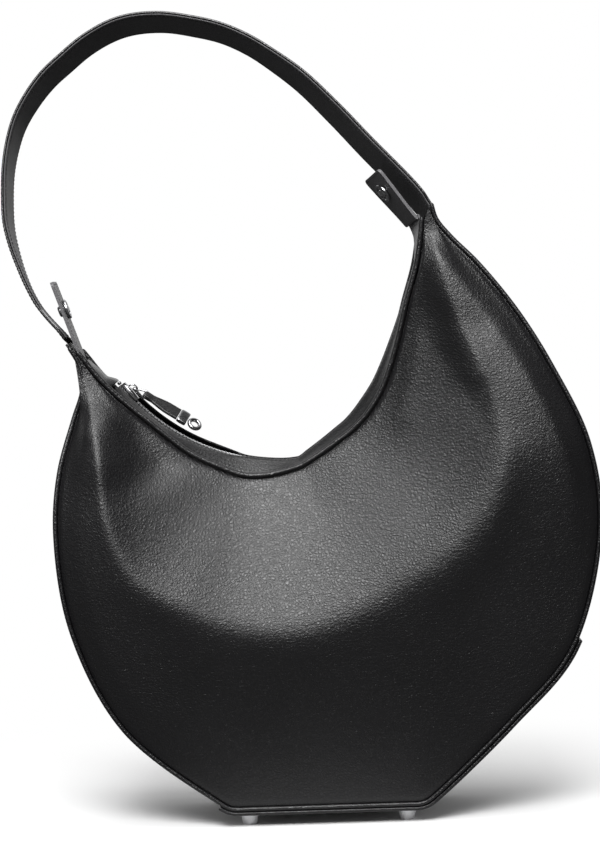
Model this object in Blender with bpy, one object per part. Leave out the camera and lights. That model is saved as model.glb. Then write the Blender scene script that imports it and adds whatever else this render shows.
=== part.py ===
"""Crescent shoulder handbag with a closed zip, a wide leather strap and four feet.

+X is the wearer's right in a front view, -Y is the front, +Z is up. The origin lies on the ground under the
middle of the whole bag. The body is a loft: every rib of the crescent runs from the mouth to the outer seam,
and its places are shares of the bag's width, height and depth.
"""
import math

import bmesh
import bpy
import numpy as np

MM = 0.001

# Overall sizes of the leather body
BAG_WIDTH = 350 * MM
BAG_HEIGHT = 390 * MM
BAG_DEPTH = 120 * MM
MOUTH_DEPTH = 41 * MM

# Leather and cloth thicknesses
PANEL_WALL = 1.8 * MM
GUSSET_WALL = 2.0 * MM
OVERLAY_WALL = 2.2 * MM
FACING_WALL = 1.4 * MM
LINING_WALL = 0.8 * MM
GAP = 0.3 * MM
CUT_OVERRUN = 3 * MM
SEAM_FACET = 24 * MM
MOUTH_FACET = 11 * MM

# Seams
PIPING_RADIUS = 1.5 * MM
BINDING_RADIUS = 1.8 * MM

# Strap and the line through its two ends
STRAP_WIDTH = 38 * MM
STRAP_OUTER_WALL = 1.8 * MM
STRAP_LINING_WALL = 1.4 * MM
STRAP_RISE = 187 * MM
STRAP_LEFT_IN = 1.4 * MM
STRAP_LEFT_UP = 0.2 * MM
STRAP_RIGHT_IN = 3.7 * MM
STRAP_RIGHT_DOWN = 1.5 * MM
STRAP_LEAN_DEGREES = 9.0
STRAP_BEND_RISE = 19.6 * MM

# Zip
ZIP_STOP_LENGTH = 2.4 * MM
ZIP_END_SPACE = 3.6 * MM
TAPE_HALF_WIDTH = 8.5 * MM
TAPE_WALL = 0.6 * MM
TEETH_HALF_WIDTH = 3.0 * MM
TEETH_HEIGHT = 2.6 * MM

# Zip slider and pull
SLIDER_LENGTH = 14 * MM
SLIDER_WIDTH = 10.5 * MM
SLIDER_TOP_WALL = 1.8 * MM
SLIDER_LIFT = 0.5 * MM
SLIDER_LIP = 1.1 * MM
SLIDER_LIP_WALL = 1.2 * MM
BRIDGE_WIDTH = 3 * MM
BRIDGE_LENGTH = 8 * MM
BRIDGE_EYE_RADIUS = 1.2 * MM
BRIDGE_EYE_HEIGHT = 1.7 * MM
BRIDGE_CROWN = 1.0 * MM
LINK_WIRE_RADIUS = 0.75 * MM
LINK_LENGTH = 9 * MM
LINK_WIDTH = 8.4 * MM
TONGUE_LENGTH = 26.5 * MM
TONGUE_NECK_WIDTH = 5 * MM
TONGUE_END_WIDTH = 9.5 * MM
TONGUE_WALL = 2.4 * MM
TONGUE_EYE_RADIUS = 1.1 * MM
TONGUE_EYE_MARGIN = 1.9 * MM
PULL_END_LENGTH = 6.5 * MM
PULL_END_WIDTH = 10.5 * MM
PULL_END_WALL = 3.4 * MM
PULL_RING_RADIUS = 3.6 * MM
PULL_RING_WIRE = 1.3 * MM
PULL_TILT_DEGREES = 16.0

# Corner tabs and their studs
TAB_WALL = 2.0 * MM
TAB_WIDTH = 30 * MM
TAB_LEFT_LENGTH = 54 * MM
TAB_LEFT_SPACE = 0.2 * MM
TAB_RIGHT_LENGTH = 40.8 * MM
TAB_CORNER_RADIUS = 5 * MM
TAB_RIGHT_BASE_TWIST_DEGREES = 14.0
TAB_RIGHT_TIP_TWIST_DEGREES = 20.0
STUD_LEFT_INSET = 19.5 * MM
STUD_RIGHT_INSET = 13.5 * MM
STUD_HOLE_RADIUS = 2.3 * MM
STUD_SHANK_RADIUS = 2.0 * MM
STUD_CAP_RADIUS = 6.5 * MM
STUD_CAP_HEIGHT = 2.6 * MM
STUD_POST_RADIUS = 3.6 * MM
STUD_POST_HEIGHT = 2.2 * MM

# Base board and feet
BOARD_WALL = 2.5 * MM
BOARD_HALF_DEPTH = 40 * MM
BOARD_CORNER_RADIUS = 6 * MM
FOOT_TOP_RADIUS = 6.2 * MM
FOOT_BOTTOM_RADIUS = 4.6 * MM
FOOT_EDGE = 0.6 * MM
FOOT_SHANK_RADIUS = 2.0 * MM
FOOT_HOLE_RADIUS = 2.3 * MM
FOOT_Y = 32 * MM
WASHER_RADIUS = 5.0 * MM
WASHER_WALL = 1.0 * MM
FOOT_SHANK_PROUD = 0.8 * MM

# Lining
LINING_INSET = 9 * MM
LINING_LOOSENESS = 1.8 * MM

# One row for each rib of the crescent, from the left corner round the bottom to the right corner:
# mouth x, mouth z, seam x, seam z as shares of the bag's width and height, the seam's half depth and the
# belly's extra depth as shares of half the bag's depth, the ridge's place between mouth and seam,
# and the zip's crown above the mouth edge as a share of the mouth's depth.
rib_shares = (
    (-0.4131, 0.7867, -0.4271, 0.7972, 0.340, 0.000, 0.50, 0.030),
    (-0.4043, 0.7769, -0.4149, 0.7795, 0.340, 0.000, 0.50, 0.040),
    (-0.3951, 0.7662, -0.4057, 0.7636, 0.340, 0.000, 0.50, 0.060),
    (-0.3826, 0.7510, -0.4011, 0.7446, 0.350, 0.005, 0.50, 0.100),
    (-0.3651, 0.7321, -0.4017, 0.7195, 0.370, 0.020, 0.50, 0.120),
    (-0.3371, 0.7064, -0.4183, 0.6754, 0.410, 0.055, 0.55, 0.140),
    (-0.2789, 0.6610, -0.4457, 0.5895, 0.575, 0.175, 0.60, 0.190),
    (-0.2143, 0.6131, -0.4551, 0.4872, 0.690, 0.265, 0.66, 0.220),
    (-0.1514, 0.5831, -0.4300, 0.3269, 0.755, 0.350, 0.64, 0.230),
    (-0.1114, 0.5692, -0.3409, 0.1641, 0.770, 0.430, 0.54, 0.220),
    (-0.0800, 0.5667, -0.1771, 0.0431, 0.770, 0.455, 0.50, 0.200),
    (-0.0657, 0.5672, -0.1489, 0.0279, 0.770, 0.460, 0.50, 0.195),
    (-0.0580, 0.5679, -0.1351, 0.0264, 0.770, 0.460, 0.49, 0.190),
    (-0.0500, 0.5692, -0.1200, 0.0264, 0.770, 0.465, 0.49, 0.190),
    (-0.0229, 0.5744, 0.0229, 0.0264, 0.770, 0.470, 0.48, 0.170),
    (0.0051, 0.5826, 0.1800, 0.0264, 0.770, 0.470, 0.46, 0.155),
    (0.0091, 0.5846, 0.1960, 0.0264, 0.770, 0.470, 0.46, 0.150),
    (0.0140, 0.5872, 0.2120, 0.0303, 0.770, 0.470, 0.46, 0.145),
    (0.0200, 0.5905, 0.2320, 0.0436, 0.770, 0.460, 0.46, 0.145),
    (0.0460, 0.6051, 0.3691, 0.1579, 0.770, 0.445, 0.47, 0.155),
    (0.0771, 0.6244, 0.4851, 0.2759, 0.770, 0.420, 0.52, 0.170),
    (0.1060, 0.6446, 0.5429, 0.4721, 0.740, 0.360, 0.62, 0.180),
    (0.1340, 0.6723, 0.5271, 0.6141, 0.690, 0.280, 0.62, 0.195),
    (0.1629, 0.7169, 0.4660, 0.7390, 0.600, 0.190, 0.60, 0.170),
    (0.1874, 0.7808, 0.4051, 0.8331, 0.505, 0.120, 0.55, 0.115),
    (0.2080, 0.8500, 0.3371, 0.9131, 0.420, 0.054, 0.50, 0.055),
    (0.2286, 0.9128, 0.2900, 0.9574, 0.360, 0.018, 0.50, 0.065),
    (0.2371, 0.9577, 0.2651, 0.9862, 0.340, 0.004, 0.50, 0.130),
    (0.2406, 0.9862, 0.2571, 1.0097, 0.340, 0.000, 0.50, 0.170),
)
ridge_softness_share = 0.16

# Places along the ribs, counted in ribs from the left corner
GUSSET_RIBS = (0.03, 28.0)
PANEL_RIBS = (0.5, 27.5)
BINDING_RIBS = (0.7, 27.5)
OVERLAY_RIBS = (10.3, 20.1)
LINING_RIBS = (5.0, 25.4)
ZIP_RIBS = (4.74, 25.5)
ZIP_END_RIBS = (1.95, 27.7)
ZIP_ARC_RIBS = (3.9, 4.5, 12.5, 19.0)
# The zip's arc goes through the raised mouth line at these three
ZIP_ARC_THROUGH = (5.3, 7.5, 14.0)

# The middle of the strap's outer face, left end to right end: shares of the span and of the rise
strap_line_shares = (
    (-0.0044, 0.0032), (-0.0133, 0.0412), (-0.0298, 0.0936), (-0.0456, 0.1551),
    (-0.0544, 0.2246), (-0.0573, 0.2995), (-0.0560, 0.3743), (-0.0484, 0.4599),
    (-0.0234, 0.5690), (0.0048, 0.6597), (0.0328, 0.7257), (0.0756, 0.8009),
    (0.1259, 0.8592), (0.1890, 0.9120), (0.2455, 0.9427), (0.3189, 0.9767),
    (0.4192, 0.9922), (0.5247, 0.9578), (0.6016, 0.9018), (0.6651, 0.8435),
    (0.7223, 0.7671), (0.7726, 0.6753), (0.8122, 0.5920), (0.8683, 0.4328),
    (0.9228, 0.2570), (0.9532, 0.1617), (0.9696, 0.1041), (0.9805, 0.0537),
    (0.9856, 0.0032),
)
# The strap's twist at those points, as shares of a right angle
strap_twist_shares = (
    0.000, -0.003, -0.011, -0.022, -0.033, -0.028, -0.011, 0.000, 0.000,
    0.003, 0.011, 0.022, 0.036, 0.047, 0.051, 0.051, 0.056, 0.061,
    0.067, 0.072, 0.083, 0.100, 0.117, 0.133, 0.139, 0.133, 0.117,
    0.094, 0.072,
)
strap_end_turn_shares = (0.12, 0.27, 0.43, 0.62, 0.82)

# The right tab's middle line starts and ends at these shares of the strap's span and rise
tab_right_base_shares = (0.9516, -0.0345)
tab_right_tip_shares = (0.8968, 0.172)
# The left tab's base lies inside the gusset at this rib
TAB_LEFT_RIB = 1.82
# The board's left and right ends and the middles of the left and right feet, as shares of the bag's width
board_end_shares = (-0.1286, 0.19)
foot_x_shares = (-0.1143, 0.1749)

# Colours, roughness and metallic value of each material
MATERIALS = {
    "body_leather": ((0.016, 0.015, 0.018), 0.42, 0.0),
    "strap_leather": ((0.018, 0.017, 0.019), 0.40, 0.0),
    "strap_lining": ((0.035, 0.034, 0.036), 0.60, 0.0),
    "lining_cloth": ((0.05, 0.045, 0.045), 0.85, 0.0),
    "zip_tape": ((0.012, 0.012, 0.013), 0.80, 0.0),
    "polished_metal": ((0.72, 0.72, 0.74), 0.18, 1.0),
    "satin_metal": ((0.74, 0.74, 0.75), 0.34, 1.0),
    "board": ((0.22, 0.18, 0.14), 0.85, 0.0),
}

SHARP_ANGLE = math.radians(38)
STRAP_SECTIONS = 42
ROUND_SIDES = 20
HOLE_SIDES = 16
WIRE_SIDES = 8


def clear_scene():
    """Remove every object that the file opened with."""
    for item in list(bpy.data.objects):
        bpy.data.objects.remove(item, do_unlink=True)


def material(slot):
    """One Principled material for each finish, made once."""
    found = bpy.data.materials.get(slot)
    if found is not None:
        return found
    colour, roughness, metallic = MATERIALS[slot]
    made = bpy.data.materials.new(slot)
    made.use_nodes = True
    shader = made.node_tree.nodes["Principled BSDF"]
    shader.inputs["Base Color"].default_value = (*colour, 1.0)
    shader.inputs["Roughness"].default_value = roughness
    shader.inputs["Metallic"].default_value = metallic
    return made


def solid(name, points, faces, slot, pivot=None):
    """Turn points and faces into one closed object whose faces point out."""
    centre = np.zeros(3) if pivot is None else np.asarray(pivot, float)
    mesh = bpy.data.meshes.new(name)
    mesh.from_pydata((np.asarray(points, float) - centre).tolist(), [], faces)
    shape = bmesh.new()
    shape.from_mesh(mesh)
    bmesh.ops.recalc_face_normals(shape, faces=shape.faces)
    shape.to_mesh(mesh)
    shape.free()
    mesh.shade_smooth()
    mesh.set_sharp_from_angle(angle=SHARP_ANGLE)
    mesh.materials.append(material(slot))
    made = bpy.data.objects.new(name, mesh)
    made.location = centre
    bpy.context.collection.objects.link(made)
    return made


def grid_faces(rows, columns, start, wrap=False):
    """Quads of a grid stored row by row; with wrap the last column joins the first."""
    faces = []
    last = columns if wrap else columns - 1
    for i in range(rows - 1):
        for j in range(last):
            k = (j + 1) % columns
            a = start + i * columns + j
            b = start + i * columns + k
            faces.append((a, b, b + columns, a + columns))
    return faces


def sheet(name, upper, lower, slot, pivot=None):
    """A closed sheet between two grids of the same size, both split along the same diagonals."""
    rows, columns = upper.shape[:2]
    count = rows * columns
    points = np.concatenate([upper.reshape(-1, 3), lower.reshape(-1, 3)])
    faces = []
    for a, b, c, d in grid_faces(rows, columns, 0):
        faces += [(a, b, c), (a, c, d), (c + count, b + count, a + count), (d + count, c + count, a + count)]
    edge = list(range(columns))
    edge += [i * columns + columns - 1 for i in range(1, rows)]
    edge += [(rows - 1) * columns + j for j in range(columns - 2, -1, -1)]
    edge += [i * columns for i in range(rows - 2, 0, -1)]
    for here, after in zip(edge, edge[1:] + edge[:1]):
        faces.append((here, here + count, after + count, after))
    return solid(name, points, faces, slot, pivot)


def rings(name, loops, slot, closed=False, pivot=None):
    """A tube through rings of points; an open one gets a flat cap at each end."""
    rows, columns = loops.shape[:2]
    faces = grid_faces(rows, columns, 0, wrap=True)
    if closed:
        start = (rows - 1) * columns
        for j in range(columns):
            k = (j + 1) % columns
            faces.append((start + j, start + k, k, j))
    else:
        faces.append(tuple(reversed(range(columns))))
        faces.append(tuple(range((rows - 1) * columns, rows * columns)))
    return solid(name, loops.reshape(-1, 3), faces, slot, pivot)


def circle(sides):
    """Cosines and sines of evenly spaced turns."""
    turns = np.arange(sides) * 2 * math.pi / sides
    return np.cos(turns), np.sin(turns)


def round_tube(name, path, side, across, radius, slot, sides=WIRE_SIDES, closed=False, pivot=None):
    """A round tube along a path; side and across are unit vectors square to it."""
    cosines, sines = circle(sides)
    loops = path[:, None] + radius * (cosines[None, :, None] * side[:, None]
                                      + sines[None, :, None] * across[:, None])
    return rings(name, loops, slot, closed, pivot)


def turned(name, origin, axis, profile, slot, sides=ROUND_SIDES, pivot=None):
    """A turned piece: profile pairs of radius and distance along the axis, first to last."""
    axis = np.asarray(axis, float)
    helper = np.array([0.0, 1.0, 0.0]) if abs(axis[1]) < abs(axis[2]) else np.array([1.0, 0.0, 0.0])
    side = np.cross(axis, helper)
    side /= np.linalg.norm(side)
    across = np.cross(axis, side)
    cosines, sines = circle(sides)
    spokes = cosines[:, None] * side + sines[:, None] * across
    loops = np.array([np.asarray(origin) + axis * height + spokes * radius for radius, height in profile])
    return rings(name, loops, slot, False, pivot)


def hole(target, name, origin, axis, radius, reach):
    """Cut a round hole that runs reach past the origin both ways."""
    profile = ((radius, -reach), (radius, reach))
    cutter = turned(name, origin, axis, profile, "satin_metal", sides=HOLE_SIDES)
    cutter.hide_render = True
    cutter.display_type = "WIRE"
    cut = target.modifiers.new(name, "BOOLEAN")
    cut.operation = "DIFFERENCE"
    cut.object = cutter


def join(target, extra):
    """Join a second solid to the target with a union and leave it out of the build."""
    extra.hide_render = True
    extra.display_type = "WIRE"
    union = target.modifiers.new(extra.name, "BOOLEAN")
    union.operation = "UNION"
    union.object = extra


def unit(vectors):
    """Vectors of length one."""
    return vectors / np.linalg.norm(vectors, axis=-1, keepdims=True)


def smooth_step(values):
    """Ease from 0 to 1 with level ends."""
    t = np.clip(values, 0.0, 1.0)
    return t * t * (3 - 2 * t)


def spline(rows, knots, wanted):
    """A centripetal Catmull-Rom curve through rows at knots, read at the wanted knot values.

    Each stretch is a cubic whose end slopes are the weighted mean of the chords that meet there.
    """
    steps = np.diff(knots)
    chords = np.diff(rows, axis=0) / steps[:, None]
    slopes = np.empty_like(rows)
    slopes[0] = chords[0]
    slopes[-1] = chords[-1]
    weight = steps[1:] / (steps[1:] + steps[:-1])
    slopes[1:-1] = weight[:, None] * chords[:-1] + (1 - weight)[:, None] * chords[1:]
    span = np.clip(np.searchsorted(knots, wanted, side="right") - 1, 0, len(steps) - 1)
    step = steps[span][:, None]
    t = ((wanted - knots[span]) / steps[span])[:, None]
    start = rows[span]
    end = rows[span + 1]
    return (start * (2 * t ** 3 - 3 * t ** 2 + 1) + end * (3 * t ** 2 - 2 * t ** 3)
            + slopes[span] * step * (t ** 3 - 2 * t ** 2 + t)
            + slopes[span + 1] * step * (t ** 3 - t ** 2))


RIBS = np.array(rib_shares)
RIB_SCALE = np.array([BAG_WIDTH, BAG_HEIGHT, BAG_WIDTH, BAG_HEIGHT, BAG_DEPTH / 2, BAG_DEPTH / 2, 1.0, MOUTH_DEPTH])
RIB_SIZES = RIBS * RIB_SCALE
SEAM_STEPS = np.linalg.norm(np.diff(RIB_SIZES[:, 2:4], axis=0), axis=1)
RIB_KNOTS = np.concatenate([[0.0], np.cumsum(np.sqrt(SEAM_STEPS))])


def at_ribs(places):
    """All eight rib values, in metres, at places counted in ribs."""
    knots = np.interp(places, np.arange(len(RIB_KNOTS)), RIB_KNOTS)
    return spline(RIB_SIZES, RIB_KNOTS, knots)


def rib_places(first, last):
    """Places from first to last whose steps along the seam are about one facet long."""
    stops = [first] + [k for k in range(len(RIBS)) if first < k < last] + [last]
    places = [first]
    for low, high in zip(stops, stops[1:]):
        length = SEAM_STEPS[int(low)] * (high - low)
        count = max(1, round(length / SEAM_FACET))
        places += [low + (high - low) * (k + 1) / count for k in range(count)]
    return np.array(places)


def mouth_places(first, last):
    """Places from first to last, evenly spaced along the mouth."""
    fine = np.linspace(first, last, 60)
    line = at_ribs(fine)[:, 0:2]
    run = np.concatenate([[0.0], np.cumsum(np.linalg.norm(np.diff(line, axis=0), axis=1))])
    count = max(2, round(run[-1] / MOUTH_FACET))
    return np.interp(np.linspace(0.0, run[-1], count + 1), run, fine)


def moved(place, length):
    """The place that lies a length further along the mouth."""
    step = 0.01
    ends = at_ribs(np.array([place - step, place + step]))[:, 0:2]
    return place + length * 2 * step / np.linalg.norm(ends[1] - ends[0])


def curve_normals(places, column):
    """Unit normals in the XZ plane: into the handle's loop for the mouth, away from the bag for the seam."""
    step = 0.02
    top = len(RIBS) - 1
    ahead = at_ribs(np.minimum(places + step, top))[:, column:column + 2]
    behind = at_ribs(np.maximum(places - step, 0))[:, column:column + 2]
    along = unit(ahead - behind)
    turn = 1.0 if column == 0 else -1.0
    return turn * np.stack([-along[:, 1], along[:, 0]], axis=1)


def seam_points(places, inset):
    """The seam line in the XZ plane, moved into the bag by inset, with its normals."""
    normals = curve_normals(places, 2)
    return at_ribs(places)[:, 2:4] - normals * inset, normals


def mouth_points(places, rise):
    """The mouth line in the XZ plane, moved into the loop by rise, with its normals."""
    normals = curve_normals(places, 0)
    return at_ribs(places)[:, 0:2] + normals * rise, normals


def raised_mouth(places):
    """The mouth line in the XZ plane raised by the zip's crown, with its normals."""
    line, normals = mouth_points(places, 0.0)
    return line + normals * at_ribs(places)[:, 7:8], normals


def zip_arc():
    """Centre and radius of the circle through three points of the raised mouth line."""
    first, second, third = raised_mouth(np.array(ZIP_ARC_THROUGH))[0]
    sides = 2 * np.array([second - first, third - first])
    squares = np.array([second @ second - first @ first, third @ third - first @ first])
    centre = np.linalg.solve(sides, squares)
    return centre, np.linalg.norm(first - centre)


def chain_points(places):
    """The zip's middle line: the mouth line raised by the crown, and a true arc where the slider runs."""
    raised, normals = raised_mouth(places)
    centre, radius = zip_arc()
    on_arc = centre + unit(raised - centre) * radius
    rise_from, rise_to, fall_from, fall_to = ZIP_ARC_RIBS
    share = smooth_step((places - rise_from) / (rise_to - rise_from))
    share = share * (1 - smooth_step((places - fall_from) / (fall_to - fall_from)))
    line = raised + (on_arc - raised) * share[:, None]
    inward = unit(normals + (unit(centre - on_arc) - normals) * share[:, None])
    return line, inward


def in_space(flat, depth):
    """Points of the XZ plane and their depths as points in space."""
    flat, depth = np.broadcast_arrays(flat, np.asarray(depth)[..., None] * np.ones(2))
    return np.stack([flat[..., 0], depth[..., 0], flat[..., 1]], axis=-1)


def panel_middle(places, shares):
    """The middle surface of the front panel; rows follow the ribs, columns run from mouth to seam.

    Along a rib the half depth goes evenly from mouth to seam, plus a soft tent with its ridge at the
    belly: the smooth minimum of two straight slopes.
    """
    rib = at_ribs(places)
    mouth = rib[:, 0:2]
    seam = seam_points(places, 2 * PIPING_RADIUS + GAP)[0]
    v = shares[None, :]
    flat = mouth[:, None] + (seam - mouth)[:, None] * v[..., None]
    ridge = rib[:, 6:7]
    rising = v / ridge
    falling = (1 - v) / (1 - ridge)
    soft = ridge_softness_share
    tent = -soft * np.log(np.exp(-rising / soft) + np.exp(-falling / soft))
    even = MOUTH_DEPTH / 2 + (rib[:, 4:5] - MOUTH_DEPTH / 2) * v
    depth = even + rib[:, 5:6] * np.maximum(tent, 0.0)
    return flat, depth


def make_panel(name, side):
    """The front or back leather panel; side is -1 for the front."""
    shares = np.linspace(0.0, 1.0, 9)
    places = rib_places(*PANEL_RIBS)
    flat, depth = panel_middle(places, shares)
    outer = in_space(flat, side * (depth + PANEL_WALL / 2))
    inner = in_space(flat, side * (depth - PANEL_WALL / 2))
    sheet(name, outer, inner, "body_leather")


def make_gusset():
    """The strip between the two panels, from the left corner round the bottom to the right corner."""
    places = rib_places(*GUSSET_RIBS)
    outer_line, normals = seam_points(places, GAP)
    half = at_ribs(places)[:, 4] - PIPING_RADIUS - GAP
    across = np.linspace(-1.0, 1.0, 4)
    depth = half[:, None] * across[None, :]
    upper = in_space(outer_line[:, None], depth)
    lower = in_space((outer_line - normals * GUSSET_WALL)[:, None], depth)
    gusset = sheet("gusset", upper, lower, "body_leather")
    cut_foot_holes(gusset, "gusset")


def base_level():
    """Height of the seam line along the flat base."""
    return BAG_HEIGHT * min(rib[3] for rib in rib_shares)


def foot_places():
    """X and Y of each foot with its name."""
    left, right = (BAG_WIDTH * share for share in foot_x_shares)
    return (("front_left", left, -FOOT_Y), ("front_right", right, -FOOT_Y),
            ("back_left", left, FOOT_Y), ("back_right", right, FOOT_Y))


def cut_foot_holes(target, label):
    """Holes for the four foot shanks."""
    for name, x, y in foot_places():
        hole(target, f"{label}_hole_{name}", (x, y, base_level()), (0, 0, 1), FOOT_HOLE_RADIUS,
             BOARD_WALL + OVERLAY_WALL + CUT_OVERRUN)


def make_overlay():
    """The heavier leather round the base and the lower right side."""
    places = rib_places(*OVERLAY_RIBS)
    inner_line, normals = seam_points(places, -GAP)
    half = at_ribs(places)[:, 4] + PIPING_RADIUS
    across = np.linspace(-1.0, 1.0, 3)
    depth = half[:, None] * across[None, :]
    upper = in_space((inner_line + normals * OVERLAY_WALL)[:, None], depth)
    lower = in_space(inner_line[:, None], depth)
    overlay = sheet("base_overlay", upper, lower, "body_leather")
    cut_foot_holes(overlay, "base_overlay")


def make_piping(name, side):
    """The rolled piping in the seam between a panel and the gusset."""
    places = rib_places(*PANEL_RIBS)
    line, normals = seam_points(places, PIPING_RADIUS)
    path = in_space(line, side * at_ribs(places)[:, 4])
    across = np.broadcast_to(np.array([0.0, 1.0, 0.0]), path.shape)
    round_tube(name, path, in_space(normals, np.zeros(len(normals))), across, PIPING_RADIUS, "body_leather",
               sides=6)


def make_binding(name, side):
    """The rolled edge of the mouth."""
    places = mouth_places(*BINDING_RIBS)
    line, normals = mouth_points(places, BINDING_RADIUS + GAP)
    path = in_space(line, side * np.full(len(places), MOUTH_DEPTH / 2))
    across = np.broadcast_to(np.array([0.0, 1.0, 0.0]), path.shape)
    round_tube(name, path, in_space(normals, np.zeros(len(normals))), across, BINDING_RADIUS, "body_leather")


def facing_edge():
    """Half depth at which the facing starts beside the binding."""
    return MOUTH_DEPTH / 2 - BINDING_RADIUS - GAP


def zip_surface(places, half_depths, side):
    """The zip panel's upper surface at half depths counted from the middle: a quarter sine from edge to crown."""
    low = mouth_points(places, BINDING_RADIUS + GAP)[0]
    high, normals = chain_points(places)
    reach = facing_edge() - TAPE_HALF_WIDTH
    rise = np.sin(np.clip((facing_edge() - half_depths) / reach, 0.0, 1.0) * math.pi / 2)
    flat = low[:, None] + (high - low)[:, None] * rise[None, :, None]
    return in_space(flat, side * half_depths[None, :]), in_space(normals, np.zeros(len(normals)))


def make_strip(name, places, half_depths, side, wall, above, slot):
    """A strip of the zip panel: wall thick, with its upper face above the zip panel's surface."""
    surface, normals = zip_surface(places, half_depths, side)
    upper = surface + normals[:, None] * above
    lower = upper - normals[:, None] * wall
    sheet(name, upper, lower, slot)


def make_zip_panel():
    """Facings, tapes, rows of teeth and the leather pieces that close the ends."""
    first, last = ZIP_RIBS
    places = mouth_places(first, last)
    facing = np.linspace(facing_edge(), TAPE_HALF_WIDTH + GAP, 4)
    tape = np.array([TAPE_HALF_WIDTH, TEETH_HALF_WIDTH + GAP])
    teeth = np.array([TEETH_HALF_WIDTH, GAP / 2])
    sides = (("front", -1.0), ("back", 1.0))
    for label, side in sides:
        make_strip(f"{label}_zip_facing", places, facing, side, FACING_WALL, 0.0, "body_leather")
        make_strip(f"{label}_zip_tape", places, tape, side, TAPE_WALL, 0.0, "zip_tape")
        make_strip(f"{label}_zip_teeth", places, teeth, side, TEETH_HEIGHT, (TEETH_HEIGHT - TAPE_WALL) / 2,
                   "polished_metal")
    whole = np.linspace(facing_edge(), -facing_edge(), 9)
    start, end = ZIP_END_RIBS
    for label, low, high in (("left", start, moved(first, -ZIP_END_SPACE)),
                             ("right", moved(last, ZIP_END_SPACE), end)):
        ends = mouth_places(low, high)
        surface, normals = zip_surface(ends, np.abs(whole), 1.0)
        surface[..., 1] = whole[None, :]
        lower = surface - normals[:, None] * FACING_WALL
        sheet(f"{label}_zip_end", surface, lower, "body_leather")
    make_stop("left_zip_stop", first, -1.0)
    make_stop("right_zip_stop", last, 1.0)


def make_stop(name, place, way):
    """The metal stop just past the end of the teeth; way is +1 past the right end."""
    line, inward = chain_points(np.array([place]))
    step = chain_points(np.array([place + 0.01 * way]))[0] - line
    along = in_space(unit(step), np.zeros(1))[0]
    up = in_space(inward, np.zeros(1))[0]
    centre = in_space(line, np.zeros(1))[0] + up * -TAPE_WALL / 2
    near = centre + along * GAP
    make_block(name, near, along, up, ZIP_STOP_LENGTH, TEETH_HALF_WIDTH, TEETH_HEIGHT / 2, "polished_metal")


def make_block(name, near, along, up, length, half_width, half_height, slot, chamfer_share=0.3, pivot=None):
    """A block with chamfered long edges, from near for length along."""
    across = np.array([0.0, 1.0, 0.0])
    cut = half_height * chamfer_share
    outline = ((-half_width, cut - half_height), (cut - half_width, -half_height),
               (half_width - cut, -half_height), (half_width, cut - half_height),
               (half_width, half_height - cut), (half_width - cut, half_height),
               (cut - half_width, half_height), (-half_width, half_height - cut))
    loops = np.array([[near + along * reach + across * y + up * z for y, z in outline]
                      for reach in (0.0, length)])
    return rings(name, loops, slot, False, pivot)


def zip_frame(degrees):
    """Place, running direction and upward direction on the zip's arc at an angle about its centre."""
    turn = math.radians(degrees)
    out = np.array([math.cos(turn), 0.0, math.sin(turn)])
    along = np.array([-math.sin(turn), 0.0, math.cos(turn)])
    (x, z), radius = zip_arc()
    return np.array([x, 0.0, z]) + out * radius, along, -out


def slider_turn():
    """Angle of the slider's middle at rest: its end stands at the teeth's left end."""
    centre, radius = zip_arc()
    x, z = chain_points(np.array([ZIP_RIBS[0]]))[0][0] - centre
    return math.degrees(math.atan2(z, x)) + math.degrees((SLIDER_LENGTH / 2 + GAP) / radius)


def extrude_across(name, outline, centre, along, up, half_width, slot, pivot=None):
    """An outline in the running and upward directions, carried across the zip."""
    across = np.array([0.0, 1.0, 0.0])
    loops = np.array([[centre + along * a + up * b + across * y for a, b in outline]
                      for y in (-half_width, half_width)])
    return rings(name, loops, slot, False, pivot)


def bridge_eye():
    """The middle of the slider's eye, on the pull's hinge."""
    centre, along, up = zip_frame(slider_turn())
    height = (TEETH_HEIGHT - TAPE_WALL) / 2 + SLIDER_LIFT + SLIDER_TOP_WALL + BRIDGE_EYE_HEIGHT
    return centre + up * height, along, up


def make_slider():
    """The slider: a top plate with lips beside the teeth and a bridge with an eye."""
    centre, along, up = zip_frame(slider_turn())
    bottom = (TEETH_HEIGHT - TAPE_WALL) / 2 + SLIDER_LIFT
    top = bottom + SLIDER_TOP_WALL
    half = SLIDER_WIDTH / 2
    inner = half - SLIDER_LIP_WALL
    lip = bottom - SLIDER_LIP
    section = ((-half, lip), (-inner, lip), (-inner, bottom), (inner, bottom), (inner, lip), (half, lip),
               (half, (top + bottom) / 2), (inner, top), (-inner, top), (-half, (top + bottom) / 2))
    across = np.array([0.0, 1.0, 0.0])
    narrow_share = 0.8
    loops = []
    for reach, share in ((-0.5, narrow_share), (-0.3, 1.0), (0.3, 1.0), (0.5, narrow_share)):
        ring = []
        for y, z in section:
            spread = y if abs(y) <= inner else math.copysign(inner + (abs(y) - inner) * share, y)
            ring.append(centre + along * SLIDER_LENGTH * reach + across * spread + up * z)
        loops.append(ring)
    slider = rings("zip_slider", np.array(loops), "polished_metal")
    hump_top = top + BRIDGE_EYE_HEIGHT + BRIDGE_EYE_RADIUS + BRIDGE_CROWN
    foot = bottom + SLIDER_TOP_WALL / 2
    outline = ((-BRIDGE_LENGTH / 2, foot), (BRIDGE_LENGTH / 2, foot), (BRIDGE_LENGTH / 2, top),
               (BRIDGE_LENGTH / 4, hump_top), (-BRIDGE_LENGTH / 4, hump_top), (-BRIDGE_LENGTH / 2, top))
    join(slider, extrude_across("bridge_block", outline, centre, along, up, BRIDGE_WIDTH / 2, "polished_metal"))
    hole(slider, "bridge_eye", bridge_eye()[0], (0, 1, 0), BRIDGE_EYE_RADIUS, BRIDGE_WIDTH / 2 + CUT_OVERRUN)


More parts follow.
